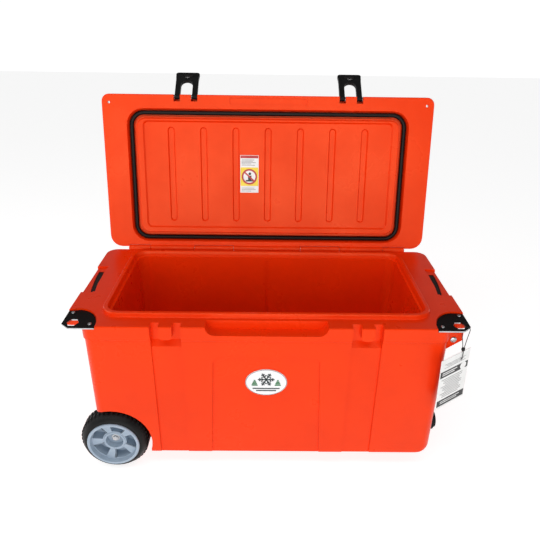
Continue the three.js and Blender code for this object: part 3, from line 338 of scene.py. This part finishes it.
GASKET_MIDDLE = (0, -0.2005, 0.0137)
GASKET_HALF_X, GASKET_HALF_Y, GASKET_CORNER, GASKET_RADIUS = 0.368, 0.1695, 0.034, 0.0055
bpy.ops.object.select_all(action="DESELECT")
bpy.ops.mesh.primitive_plane_add(size=2, location=GASKET_MIDDLE)
gasket = bpy.context.object
start_edit(gasket)
bpy.ops.transform.resize(value=(GASKET_HALF_X, GASKET_HALF_Y, 1), center_override=GASKET_MIDDLE)
bpy.ops.mesh.bevel(offset=GASKET_CORNER, affect="VERTICES", segments=12)
bpy.ops.mesh.delete(type="ONLY_FACE")
bpy.ops.object.mode_set(mode="OBJECT")
bpy.ops.object.convert(target="CURVE")
gasket.data.bevel_depth = GASKET_RADIUS
gasket.data.bevel_resolution = 5
bpy.ops.object.convert(target="MESH")
gasket = bpy.context.object
shade(gasket, 50)
RUBBER = moulded("black_rubber", (0.006, 0.0055, 0.005), (0.009, 0.0085, 0.008), (0.4, 0.55),
                 patch_scale=40.0, grain=1600.0, depth=0.5, Specular_IOR_Level=0.2)
settle(seat(gasket, LID_SEAT), "lid_seal_ring", "lid", RUBBER, "gasket_rubber", "lid_gasket")

# ---- Wheels
# Grey five-spoke rims moulded in glass-filled plastic, with solid black rubber tyres whose shoulders
# carry staggered blocks. Both wheels are the same and turn on one steel axle.
WHEEL_X, WHEEL_Z = -0.364, 0.081
FRONT_FACE_Y, REAR_FACE_Y = -0.281839, 0.122161
FRONT_WHEEL = (Matrix.Translation((WHEEL_X, FRONT_FACE_Y, WHEEL_Z))
               @ rotated(-90, "X"))
REAR_WHEEL = (Matrix.Translation((WHEEL_X, REAR_FACE_Y, WHEEL_Z))
              @ rotated(180, "Z") @ rotated(-90, "X"))


def turned(profile, sides=64, ring=False):
    """A turned piece about Z: a circle drawn out through these (radius, height) steps in mm."""
    bpy.ops.object.select_all(action="DESELECT")
    radius, height = profile[0]
    bpy.ops.mesh.primitive_circle_add(vertices=sides, radius=radius / 1000, location=(0, 0, 0))
    made = bpy.context.object
    start_edit(made)
    bpy.ops.transform.translate(value=(0, 0, height / 1000))
    if not ring:
        bpy.ops.mesh.extrude_region()
        bpy.ops.mesh.merge(type="CENTER")
        bpy.ops.mesh.select_all(action="DESELECT")
        bpy.ops.mesh.select_non_manifold(extend=False)
    for step in [*profile[1:], *([profile[0]] if ring else [])]:
        bpy.ops.mesh.extrude_region_move(
            TRANSFORM_OT_translate={"value": (0, 0, (step[1] - height) / 1000)})
        share = step[0] / radius
        bpy.ops.transform.resize(value=(share, share, 1), center_override=(0, 0, 0))
        radius, height = step
    if not ring:
        bpy.ops.mesh.extrude_region()
        bpy.ops.mesh.merge(type="CENTER")
    end_edit()
    return made


def placed_copy(piece, matrix):
    """A copy of a piece, with its own mesh, moved by the matrix."""
    made = piece.copy()
    made.data = piece.data.copy()
    scene.collection.objects.link(made)
    made.matrix_world = matrix @ piece.matrix_world
    return made


def joined(first, *others):
    """One piece made of several."""
    only(first)
    for other in others:
        other.select_set(True)
    bpy.ops.object.join()
    return first


def cut_away(piece, tool):
    """Cuts the tool's shape out of the piece and throws the tool away."""
    only(piece)
    cutting = piece.modifiers.new("cut", "BOOLEAN")
    cutting.object = tool
    cutting.solver = "EXACT"
    bpy.ops.object.modifier_apply(modifier="cut")
    bpy.data.objects.remove(tool)


RIM_PROFILE = [(6.3, 17), (20, 17), (21, 1.5), (24.5, 1.5), (26.5, 3.5), (53.5, 0.5), (55.5, -11.5),
               (60, -12.5), (62, -10.5), (62, 9), (57.5, 11), (57.5, 33), (62, 35), (62, 41), (54, 41),
               (54, 31), (20, 30), (18, 44), (6.3, 44)]
rim = turned(RIM_PROFILE, sides=80, ring=True)
# Five pockets between the spokes, each swept round the axle through twice this angle.
pocket_half = 0.42
WHEEL_TURN_DEG = 16
bpy.ops.object.select_all(action="DESELECT")
bpy.ops.mesh.primitive_plane_add(size=1, rotation=(math.radians(90), 0, 0))
pocket = bpy.context.object
start_edit(pocket)
bpy.ops.transform.resize(value=(0.024, 1, 0.039), center_override=(0, 0, 0))
bpy.ops.transform.translate(value=(0.0405, 0, 0.0055))
bpy.ops.transform.rotate(value=pocket_half, orient_axis="Z", center_override=(0, 0, 0))
bpy.ops.mesh.spin(steps=10, angle=2 * pocket_half, center=(0, 0, 0), axis=(0, 0, 1))
end_edit()
seat(pocket)
start_angle = min(math.atan2(v.co.y, v.co.x) for v in pocket.data.vertices)
seat(pocket, Matrix.Rotation(-start_angle - pocket_half, 4, "Z"))
pockets = joined(*[placed_copy(pocket, rotated(WHEEL_TURN_DEG - 90 + 72 * k, "Z")) for k in range(5)])
bpy.data.objects.remove(pocket)
cut_away(rim, pockets)
soften(rim, 0.0007, segments=2, angle=40)
WHEEL_GREY = moulded("wheel_grey_plastic", (0.36, 0.44, 0.53), (0.3, 0.38, 0.47), (0.35, 0.5),
                     patch_scale=30.0, grain=1500.0, depth=0.4)
TYRE_RUBBER = moulded("tyre_rubber", (0.0035, 0.0035, 0.0035), (0.007, 0.007, 0.007), (0.38, 0.55),
                      patch_scale=35.0, grain=1300.0, depth=0.8, Specular_IOR_Level=0.2)
TYRE_PROFILE = [(62.3, -8.2), (65.5, -8.3), (69, -6.2), (72.4, -3), (75.4, 1.2), (77.6, 6), (79, 11.5),
                (79, 33), (78.2, 38), (76, 41.4), (73, 43), (69, 43.5), (65, 42.6), (62.3, 41),
                (62.3, 34.7), (58, 32.7), (58, 11.3), (62.3, 9.3)]
tyre = turned(TYRE_PROFILE, sides=96, ring=True)


def tyre_block(size, place, lean):
    """One rubber block with rounded edges, in mm."""
    bpy.ops.object.select_all(action="DESELECT")
    bpy.ops.mesh.primitive_cube_add(size=1, location=(0, 0, 0))
    made = bpy.context.object
    start_edit(made)
    bpy.ops.transform.resize(value=[s / 1000 for s in size], center_override=(0, 0, 0))
    bpy.ops.mesh.bevel(offset=0.0006, segments=1, affect="EDGES")
    end_edit()
    return seat(made, Matrix.Translation([p / 1000 for p in place])
                @ rotated(lean, "Y"))


block = joined(tyre_block((3.4, 7.0, 13), (79.1, 0, 14.5), 0),
               tyre_block((2.0, 6.0, 7.5), (77.2, 0, 5.9), 26.6))
TYRE_BACK, BLOCKS = 0.044, 44
flipped = Matrix.Translation((0, 0, TYRE_BACK)) @ rotated(180, "X")
blocks = [placed_copy(block, Matrix.Rotation(math.tau * (k + shift) / BLOCKS, 4, "Z") @ turn)
          for turn, shift in ((Matrix.Identity(4), 0), (flipped, 0.5)) for k in range(BLOCKS)]
bpy.data.objects.remove(block)
tyre = joined(tyre, *blocks)
shade(tyre, 40)
STEEL = moulded("zinc_plated_steel", (0.62, 0.63, 0.64), (0.5, 0.51, 0.53), (0.22, 0.4),
                patch_scale=60.0, grain=900.0, depth=0.3, Metallic=1.0)
bpy.ops.object.select_all(action="DESELECT")
bpy.ops.mesh.primitive_cylinder_add(vertices=6, radius=0.0072, depth=0.0038, location=(0, 0, 0.0112))
axle_bolt = soften(seat(bpy.context.object), 0.0006, segments=2, angle=25)
axle_bolt = joined(axle_bolt, soften(turned([(10, 15.0), (10, 13.2), (7.6, 12.9)], sides=48), 0.0003,
                                     segments=2, angle=30),
                   soften(turned([(3.6, 10), (3.6, 8.9), (2.8, 8.2)], sides=32), 0.0003, segments=2,
                          angle=30))
washer = soften(turned([(6.3, 46), (11, 46), (11, 47.6), (6.3, 47.6)], sides=48, ring=True), 0.0003,
                segments=2)
for side, place in (("front", FRONT_WHEEL), ("rear", REAR_WHEEL)):
    for made, name, finish, slot in ((rim, "wheel_rim", WHEEL_GREY, "grey_plastic"),
                                     (tyre, "tyre", TYRE_RUBBER, "tyre_rubber")):
        settle(seat(placed_copy(made, place)), f"{side}_{name}_moulding", f"{side}_wheel", finish,
               slot, f"{side}_{name}")
    for made, name in ((axle_bolt, "axle_bolt"), (washer, "axle_washer")):
        settle(seat(placed_copy(made, place)), f"{side}_{name}_turned", "cooler_body", STEEL, "steel",
               f"{side}_{name}")
for made in (rim, tyre, axle_bolt, washer):
    bpy.data.objects.remove(made)

# ---- Axle and hinge rod
# Plain steel bars with chamfered ends. The axle runs through a moulded tunnel under the raised floor,
# and the rod through the knuckles of the body and the lid by turns.
axle_low, axle_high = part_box("axle")
axle_length = (axle_high.y - axle_low.y) * 1000
axle = turned([(5, 0), (6, 1), (6, axle_length - 1), (5, axle_length)], sides=32)
settle(seat(axle, Matrix.Translation((WHEEL_X, axle_low.y, WHEEL_Z))
            @ rotated(-90, "X")), "axle_bar", "cooler_body", STEEL, "steel",
       "axle")
rod_low, rod_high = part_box("hinge_rod")
rod_length = (rod_high.x - rod_low.x) * 1000
rod = turned([(3.2, 0), (4, 0.8), (4, rod_length - 0.8), (3.2, rod_length)], sides=32)
settle(seat(rod, Matrix.Translation((rod_low.x, HINGE_Y, HINGE_Z))
            @ rotated(90, "Y")), "hinge_rod_bar", "cooler_body", STEEL, "steel",
       "hinge_rod")

# ---- Corner plates and screws
# Pressed steel plates, powder-coated black. Their side faces round the padlock hole and along the front
# edge are light steel: a painted highlight where these edges catch the light. Each has a hexagonal
# padlock hole and is held by two pan-head screws with a cross recess.
BLACK_METAL = moulded("black_powder_coat", (0.004, 0.004, 0.004), (0.006, 0.006, 0.006), (0.5, 0.65),
                      patch_scale=50.0, grain=1900.0, depth=0.9, Specular_IOR_Level=0.08)


def pan_head(radius, height, shank, shank_radius):
    """A pan-head screw that stands on z = 0, with its shank below, in mm."""
    head = turned([(shank_radius, -shank), (shank_radius, 0), (radius, 0), (radius, height * 0.35),
                   (radius * 0.93, height * 0.7), (radius * 0.72, height * 0.93),
                   (radius * 0.35, height)], sides=32)
    bars = []
    for turn in (0, 90):
        bpy.ops.object.select_all(action="DESELECT")
        bpy.ops.mesh.primitive_cube_add(size=1, location=(0, 0, height / 1000))
        bar = bpy.context.object
        start_edit(bar)
        bpy.ops.transform.resize(value=(radius * 0.0011, radius * 0.00026, height * 0.0011),
                                 center_override=(0, 0, height / 1000))
        bpy.ops.transform.rotate(value=math.radians(turn), orient_axis="Z", center_override=(0, 0, 0))
        end_edit()
        bars.append(seat(bar))
    for bar in bars:
        cut_away(head, bar)
    shade(head, 35)
    return head


SCREWS = ((0.435, 0.064), (0.384, 0.016))
PLATE_BED_DEPTH, PLATE_THICKNESS = 0.007, 0.0036
SCREW_SEAT = RIM_Z - PLATE_BED_DEPTH + PLATE_THICKNESS
HOLE_X, HOLE_Y, HOLE_REACH, FRONT_EDGE_Y = 0.423, 0.023, 0.0165, 0.012
screw = pan_head(4.2, 2.3, 16, 1.9)
for side, sign in (("left", -1), ("right", 1)):
    plate = merged_copy(f"{side}_corner_plate")
    soften(plate, 0.0004, segments=2, angle=40)
    settle(plate, f"{side}_plate_pressing", "cooler_body", BLACK_METAL, "black_metal",
           f"{side}_corner_plate")
    # Light steel on the side faces round the hole and along the front edge is a painted highlight.
    plate.data.materials.append(STEEL)
    for face in plate.data.polygons:
        at = face.center
        near_hole = math.hypot(abs(at.x) - HOLE_X, at.y - BUILD_Y - HOLE_Y) < HOLE_REACH
        if abs(face.normal.z) < 0.6 and (near_hole or at.y - BUILD_Y < FRONT_EDGE_Y):
            face.material_index = 1
    for i, (x, y) in enumerate(SCREWS):
        place = (Matrix.Translation((sign * x, y + BUILD_Y, SCREW_SEAT))
                 @ rotated(25 + 40 * i + 15 * sign, "Z"))
        settle(seat(placed_copy(screw, place)), f"{side}_pan_screw_{i + 1}", "cooler_body", STEEL,
               "steel", f"{side}_plate_screw_{i + 1}")
bpy.data.objects.remove(screw)

# ---- Latches
# Draw-down latches moulded in stiff black rubber, each on a steel pin across its two legs. The arch
# closes round a keeper of the body, and ribs on the end give the thumb a grip.
LATCH_RUBBER = moulded("latch_rubber", (0.004, 0.004, 0.004), (0.006, 0.006, 0.006), (0.42, 0.58),
                       patch_scale=45.0, grain=1700.0, depth=0.6, Specular_IOR_Level=0.15)
LATCH_X, LATCH_Y, LATCH_Z, LATCH_FOLD_DEG = 0.22, -0.411, 0.015, 130
RIB_Y, FIRST_RIB_Z, RIB_PITCH = -0.0089, -0.0775, 0.002
for side, sign in (("left", -1), ("right", 1)):
    pivot = LID_SEAT @ Matrix.Translation((sign * LATCH_X, LATCH_Y, LATCH_Z))
    latch = soften(merged_copy(f"{side}_latch"), 0.0012, segments=3, angle=40)
    ribs = []
    for k in range(4):
        bpy.ops.object.select_all(action="DESELECT")
        bpy.ops.mesh.primitive_cube_add(size=1, location=(0, 0, 0))
        rib = bpy.context.object
        start_edit(rib)
        bpy.ops.transform.resize(value=(0.048, 0.0012, 0.0011), center_override=(0, 0, 0))
        bpy.ops.mesh.bevel(offset=0.0004, segments=2, affect="EDGES")
        end_edit()
        seat(rib, pivot @ rotated(-LATCH_FOLD_DEG, "X")
             @ Matrix.Translation((0, RIB_Y, FIRST_RIB_Z - RIB_PITCH * k)))
        ribs.append(rib)
    joined(latch, *ribs)
    settle(latch, f"{side}_draw_latch", f"{side}_latch", LATCH_RUBBER, "latch_rubber", f"{side}_latch")
    pin = turned([(1.9, -37), (2.5, -36.4), (2.5, 36.4), (1.9, 37)], sides=24)
    settle(seat(pin, pivot @ rotated(90, "Y")), f"{side}_latch_pin_bar", "lid",
           STEEL, "steel", f"{side}_latch_pin")

# ---- Black plastic and rubber fittings
# Small mouldings that are pushed or screwed into the body: hand grips, feet, drain and foam plugs.
BLACK_PLASTIC = moulded("black_plastic", (0.004, 0.004, 0.004), (0.006, 0.006, 0.006), (0.4, 0.55),
                        patch_scale=40.0, grain=1500.0, depth=0.5, Specular_IOR_Level=0.2)
for node, name, body_name, finish, slot, radius in (
        ("left_handle_grip", "left_flange_grip", "cooler_body", RUBBER, "black_rubber", 0.0012),
        ("right_handle_grip", "right_flange_grip", "cooler_body", RUBBER, "black_rubber", 0.0012),
        ("foot_pad_front", "front_foot_pad_moulding", "cooler_body", RUBBER, "black_rubber", 0.0012),
        ("foot_pad_rear", "rear_foot_pad_moulding", "cooler_body", RUBBER, "black_rubber", 0.0012),
        ("drain_bush", "drain_bush_moulding", "cooler_body", BLACK_PLASTIC, "black_plastic", 0.0006),
        ("drain_ring", "drain_ring_moulding", "cooler_body", RUBBER, "black_rubber", 0.0004),
        ("drain_cap", "drain_cap_moulding", "drain_cap", BLACK_PLASTIC, "black_plastic", 0.0009),
        ("fill_plug_1", "body_plug_1", "cooler_body", BLACK_PLASTIC, "black_plastic", 0.0006),
        ("fill_plug_2", "body_plug_2", "cooler_body", BLACK_PLASTIC, "black_plastic", 0.0006),
        ("lid_fill_plug", "lid_plug", "lid", BLACK_PLASTIC, "black_plastic", 0.0006)):
    settle(soften(merged_copy(node), radius, segments=2, angle=40), name, body_name, finish, slot, node)

# ---- Tow handle
# A bent steel tube, powder-coated black, with an eye welded to each end. It hangs in its nest in the
# end wall on two shoulder bolts, and a ribbed rubber sleeve covers its cross-bar.
ARM_Y, MIDDLE_Y = 0.034, 0.203
BAR_Z, PIVOT_Z, NEST_X, PIVOT_X = 0.17, 0.371, 0.394, 0.412
side_run = [(PIVOT_X, ARM_Y, PIVOT_Z), (PIVOT_X - 0.0028, ARM_Y, PIVOT_Z - 0.0175),
            (NEST_X + 0.0035, ARM_Y, PIVOT_Z - 0.034), (NEST_X, ARM_Y, PIVOT_Z - 0.048),
            (NEST_X, ARM_Y, PIVOT_Z - 0.075), (NEST_X, ARM_Y, BAR_Z + 0.06),
            (NEST_X, ARM_Y, BAR_Z + 0.03), (NEST_X, ARM_Y + 0.0022, BAR_Z + 0.017),
            (NEST_X, ARM_Y + 0.0075, BAR_Z + 0.0075), (NEST_X, ARM_Y + 0.017, BAR_Z + 0.0022),
            (NEST_X, ARM_Y + 0.03, BAR_Z), (NEST_X, ARM_Y + 0.06, BAR_Z)]
run = side_run + [(x, 2 * MIDDLE_Y - y, z) for x, y, z in reversed(side_run)]
tow_tube = smooth_curve("tow_tube", [Vector((x, y + BUILD_Y, z)) for x, y, z in run], 0.006)
only(tow_tube)
bpy.ops.object.convert(target="MESH")
tow_tube = bpy.context.object
EYE_FRONT_Y, EYE_BACK_Y = 0.028, 0.038
eyes = []
for y in (EYE_FRONT_Y, 2 * MIDDLE_Y - EYE_BACK_Y):
    eye = turned([(4.3, 0), (9, 0), (9, 10), (4.3, 10)], sides=48, ring=True)
    soften(eye, 0.0008, segments=2)
    eyes.append(seat(eye, Matrix.Translation((PIVOT_X, y + BUILD_Y, PIVOT_Z)) @ rotated(-90, "X")))
for eye_y in (ARM_Y, 2 * MIDDLE_Y - ARM_Y):
    bore = turned([(4.3, -12), (4.3, 12)], sides=48)
    cut_away(tow_tube, seat(bore, Matrix.Translation((PIVOT_X, eye_y + BUILD_Y, PIVOT_Z))
                            @ rotated(-90, "X")))
tow_frame = joined(tow_tube, *eyes)
shade(tow_frame, 40)
settle(tow_frame, "tow_tube_and_eyes", "tow_handle", BLACK_METAL, "black_metal", "tow_handle_frame")
sleeve_profile = [(6.6, -118), (10.5, -118), (11.8, -117)]
for k in range(22):
    start = -108 + 10 * k
    sleeve_profile += [(12, start), (11.2, start + 1), (11.2, start + 2.4), (12, start + 3.4)]
sleeve_profile += [(11.8, 117), (10.5, 118), (6.6, 118)]
sleeve = turned(sleeve_profile, sides=48, ring=True)
shade(sleeve, 35)
settle(seat(sleeve, Matrix.Translation((NEST_X, MIDDLE_Y + BUILD_Y, BAR_Z))
            @ rotated(-90, "X") @ Matrix.Diagonal((1, 14 / 12, 1, 1))),
       "tow_sleeve", "tow_handle", RUBBER, "black_rubber", "tow_handle_grip")
shoulder_bolt = turned([(4, -20), (4, 0), (7, 0), (7, 1.2), (6.5, 2), (4.9, 2.9), (2.4, 3.4)], sides=40)
bpy.ops.object.select_all(action="DESELECT")
bpy.ops.mesh.primitive_cylinder_add(vertices=6, radius=0.0022, depth=0.003, location=(0, 0, 0.0034))
cut_away(shoulder_bolt, seat(bpy.context.object))
bpy.ops.object.select_all(action="DESELECT")
bpy.ops.mesh.primitive_cylinder_add(vertices=6, radius=0.0065, depth=0.005, location=(0, 0, -0.0265))
lock_nut = soften(seat(bpy.context.object), 0.0005, segments=2, angle=25)
shank_end = soften(turned([(4, -29), (4, -20)], sides=40), 0.0004, segments=2)
shoulder_bolt = joined(shoulder_bolt, lock_nut, shank_end)
shade(shoulder_bolt, 35)
HEAD_Y = 0.0157
for side, y, turn in (("front", HEAD_Y, 90), ("rear", 2 * MIDDLE_Y - HEAD_Y, -90)):
    place = (Matrix.Translation((PIVOT_X, y + BUILD_Y, PIVOT_Z))
             @ rotated(turn, "X"))
    settle(seat(placed_copy(shoulder_bolt, place)), f"{side}_shoulder_bolt", "cooler_body", STEEL,
           "steel", f"{side}_tow_bolt")
bpy.data.objects.remove(shoulder_bolt)

# ---- Foam
# Poured polyurethane foam between the walls of the body and of the lid. It is out of sight.
FOAM = moulded("poured_foam", (0.75, 0.66, 0.42), (0.62, 0.53, 0.31), (0.85, 0.97), patch_scale=60.0,
               grain=400.0, depth=1.0)
for node in ("body_foam_core", "lid_foam_core"):
    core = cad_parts[node]
    core.data.materials.clear()
    core.data.materials.append(FOAM)

# ---- Oval badge
# A domed plastic oval on the front panel with a fine dark border. It carries a plain snow crystal and
# two rules in place of a name.
WHITE_PLASTIC = moulded("badge_white", (0.86, 0.87, 0.87), (0.8, 0.81, 0.82), (0.2, 0.3),
                        patch_scale=30.0, grain=1200.0, depth=0.1)
BADGE_INK = moulded("badge_ink", (0.035, 0.05, 0.055), (0.055, 0.07, 0.075), (0.3, 0.45),
                    patch_scale=60.0, grain=1200.0, depth=0.2)
BADGE_GREEN = moulded("badge_green", (0.03, 0.16, 0.06), (0.04, 0.2, 0.08), (0.3, 0.45),
                      patch_scale=60.0, grain=1200.0, depth=0.2)
BADGE_Z, BADGE_HALF_X, BADGE_HALF_Z = 0.257, 0.0475, 0.036
badge_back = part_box("oval_badge")[1].y
bpy.ops.object.select_all(action="DESELECT")
bpy.ops.mesh.primitive_circle_add(vertices=96, radius=1, fill_type="NGON", location=(0, 0, 0))
badge = bpy.context.object
start_edit(badge, "FACE")
bpy.ops.transform.resize(value=(BADGE_HALF_X, BADGE_HALF_Z, 1), center_override=(0, 0, 0))
bpy.ops.mesh.extrude_region_move(TRANSFORM_OT_translate={"value": (0, 0, 0.0015)})
bpy.ops.mesh.inset(thickness=0.0005, depth=0.0003)
bpy.ops.mesh.inset(thickness=0.0011, depth=0)
bpy.ops.mesh.inset(thickness=0.0004, depth=-0.0003)
bpy.ops.mesh.inset(thickness=0.006, depth=0.0003)
bpy.ops.object.mode_set(mode="OBJECT")
start_edit(badge)
end_edit()
shade(badge, 25)
BADGE_PLACE = Matrix.Translation((0, badge_back, BADGE_Z)) @ rotated(90, "X")
settle(seat(badge, BADGE_PLACE), "badge_oval_plate", "cooler_body", WHITE_PLASTIC, "white_badge",
       "oval_badge")
badge.data.materials.append(BADGE_INK)
for face in badge.data.polygons:
    at = face.center
    reach = math.hypot(at.x / BADGE_HALF_X, (at.z - BADGE_Z) / BADGE_HALF_Z)
    if 0.955 < reach < 0.995 and face.normal.y < -0.9:
        face.material_index = 1


def slab(length, width, height, matrix, rounding=0.0002):
    """A small bar with rounded edges that lies on z = 0 of the given frame, in metres."""
    bpy.ops.object.select_all(action="DESELECT")
    bpy.ops.mesh.primitive_cube_add(size=1, location=(0, 0, height / 2))
    made = bpy.context.object
    start_edit(made)
    bpy.ops.transform.resize(value=(length, width, height), center_override=(0, 0, height / 2))
    bpy.ops.mesh.bevel(offset=min(rounding, height * 0.45), segments=1, affect="EDGES")
    end_edit()
    return seat(made, matrix)


face_on = BADGE_PLACE @ Matrix.Translation((0, 0, 0.00165))
crystal = []
for arm in range(6):
    turn = face_on @ Matrix.Translation((0, 0.0085, 0)) @ rotated(60 * arm, "Z")
    crystal.append(slab(0.019, 0.0034, 0.0005, turn @ Matrix.Translation((0.0095, 0, 0))))
    for reach, twig in ((0.0075, 0.0068), (0.0128, 0.0052)):
        for lean in (55, -55):
            crystal.append(slab(twig, 0.0025, 0.0005, turn @ Matrix.Translation((reach, 0, 0))
                                @ rotated(lean, "Z")
                                @ Matrix.Translation((twig / 2, 0, 0))))
for z, length in ((-0.0165, 0.062), (-0.0225, 0.046)):
    crystal.append(slab(length, 0.0034, 0.0005, face_on @ Matrix.Translation((0, z, 0))))
settle(joined(*crystal), "badge_crystal", "cooler_body", BADGE_INK, "white_badge")
leaves = []
for sign in (-1, 1):
    for k, length in enumerate((0.014, 0.011, 0.008, 0.004)):
        leaves.append(slab(length, 0.0036, 0.0005, face_on @ Matrix.Translation(
            (sign * 0.0265, -0.007 + 0.0042 * k, 0))))
settle(joined(*leaves), "badge_side_bars", "cooler_body", BADGE_GREEN, "white_badge")

# ---- Label inside the lid
# A glossy printed sticker on the lid's inner panel, with a plain pictogram and lines for print.
LABEL_WHITE, PRINT_RED, PRINT_YELLOW, PRINT_GREY, PRINT_BLACK = [
    moulded(name, colour, patch_colour, gloss, patch_scale=60.0, grain=1200.0, depth=0.1)
    for name, colour, patch_colour, gloss in (
        ("label_paper", (0.84, 0.84, 0.83), (0.78, 0.78, 0.77), (0.3, 0.42)),
        ("print_red", (0.5, 0.01, 0.012), (0.42, 0.008, 0.01), (0.3, 0.45)),
        ("print_yellow", (0.9, 0.68, 0.02), (0.85, 0.62, 0.02), (0.3, 0.45)),
        ("print_grey", (0.3, 0.3, 0.3), (0.24, 0.24, 0.24), (0.4, 0.5)),
        ("print_black", (0.012, 0.012, 0.012), (0.02, 0.02, 0.02), (0.4, 0.5)))]
LABEL_X, LABEL_Y, LABEL_Z = -0.05, -0.2115, -0.0073
on_label = (LID_SEAT @ Matrix.Translation((LABEL_X, LABEL_Y, LABEL_Z))
            @ rotated(180, "X"))
label = slab(0.05, 0.101, 0.0005, on_label)
settle(label, "label_sheet", "lid", LABEL_WHITE, "paper_label", "care_label")
ink = on_label @ Matrix.Translation((0, 0, 0.00042))


def prints(name, finish, slot, body_name, frame_matrix, bars, height=0.0002):
    """Flat bars of one ink, each (x, y, length, width) in mm."""
    made = joined(*[slab(length / 1000, width / 1000, height,
                         frame_matrix @ Matrix.Translation((x / 1000, y / 1000, 0)), 0.00005)
                    for x, y, length, width in bars])
    settle(made, name, body_name, finish, slot)


prints("label_header", PRINT_RED, "paper_label", "lid", ink, [(0, 46, 48, 7)])
prints("label_yellow_field", PRINT_YELLOW, "paper_label", "lid", ink, [(0, -7, 48, 50)])
prints("label_lines", PRINT_GREY, "paper_label", "lid", ink,
       [(-4, 38, 34, 1.4), (-6, 34.5, 30, 1.4), (-2, 31, 38, 1.4), (-8, 27.5, 26, 1.4),
        (-3, 24, 36, 1.4), (-4, -38, 34, 1.4), (-2, -42, 38, 1.4), (-8, -46, 26, 1.4)])
above = ink @ Matrix.Translation((0, -0.007, 0.0002))
disc = turned([(18, 0), (18, 0.15)], sides=64)
settle(seat(disc, above), "label_disc", "lid", LABEL_WHITE, "paper_label")
ring = turned([(16.5, 0.1), (21, 0.1), (21, 0.3), (16.5, 0.3)], sides=64, ring=True)
slash = slab(0.036, 0.004, 0.0002, Matrix.Translation((0, 0, 0.0002))
             @ rotated(-42, "Z"))
settle(seat(joined(ring, slash), above), "label_ring", "lid", PRINT_RED, "paper_label")
figure = turned([(3.6, 0.12), (3.6, 0.26)], sides=32)
seat(figure, Matrix.Translation((0.001, 0.008, 0)))
figure = joined(figure, slab(0.009, 0.012, 0.00014, Matrix.Translation((0.001, -0.003, 0.00012))),
                slab(0.02, 0.004, 0.00014, Matrix.Translation((0, -0.011, 0.00012))))
settle(seat(figure, above), "label_pictogram", "lid", PRINT_BLACK, "paper_label")

# ---- Hang tag
# A die-cut card on the string, printed on both sides with plain bars, and held by a knot.
CARD_WHITE = moulded("coated_card", (0.86, 0.86, 0.85), (0.8, 0.8, 0.79), (0.45, 0.6),
                     patch_scale=40.0, grain=1400.0, depth=0.4)
card = soften(merged_copy("tag_card"), 0.0003, segments=2, angle=40)
settle(card, "tag_card_sheet", "hang_tag", CARD_WHITE, "card", "tag_card")
TAG_X, TAG_Z = 0.4313, RIM_Z - 0.074
TAG_FRAME = (Matrix.Translation((TAG_X, BUILD_Y, TAG_Z))
             @ rotated(31, "Z") @ rotated(-3.5, "Y"))
for side, turn in (("front", rotated(90, "X")),
                   ("back", rotated(180, "Z")
                    @ rotated(90, "X"))):
    offset = -19 if side == "front" else 19
    face = TAG_FRAME @ turn @ Matrix.Translation((offset / 1000, 0, 0.00055))
    prints(f"tag_{side}_bands", PRINT_BLACK, "card", "hang_tag", face,
           [(0, -22, 86, 17), (0, -104, 86, 18)])
    prints(f"tag_{side}_lines", PRINT_GREY, "card", "hang_tag", face,
           [(0, 4 - 3.2 * k, 66 - 9 * (k % 3), 1.1) for k in range(4)]
           + [(-4 + 3 * (k % 2), -38 - 5 * k, 66 - 7 * (k % 4), 1.8) for k in range(11)])
    light = face @ Matrix.Translation((0, 0, 0.00015))
    prints(f"tag_{side}_light_bars", CARD_WHITE, "card", "hang_tag", light,
           [(-14, -19, 46, 2.4), (-18, -24, 38, 2.4), (-2, -101, 62, 2), (-6, -106, 54, 2)])
    spot = turned([(9.5, 0), (9.5, 0.2)], sides=48)
    settle(seat(spot, light @ Matrix.Translation((0.028, -0.022, 0))), f"tag_{side}_spot", "hang_tag",
           CARD_WHITE, "card")

# ---- String knot
# Three turns of the same cord, drawn tight round both strands above the card.
KNOT_RISE, WRAP_PITCH = 0.0228, 0.0021
wraps = []
for k in range(3):
    bpy.ops.object.select_all(action="DESELECT")
    bpy.ops.mesh.primitive_torus_add(major_radius=0.0029, minor_radius=0.0011, major_segments=32,
                                     minor_segments=12, location=(0, 0, 0))
    wrap = bpy.context.object
    wraps.append(seat(wrap, Matrix.Translation((TAG_X, BUILD_Y, TAG_Z + KNOT_RISE + WRAP_PITCH * k))
                      @ rotated(9 - 9 * k, "X")))
knot = joined(*wraps)
only(knot)
bpy.ops.object.shade_smooth()
settle(knot, "string_knot", "cooler_body", BLACK_CORD, "black_cord", "tag_knot")
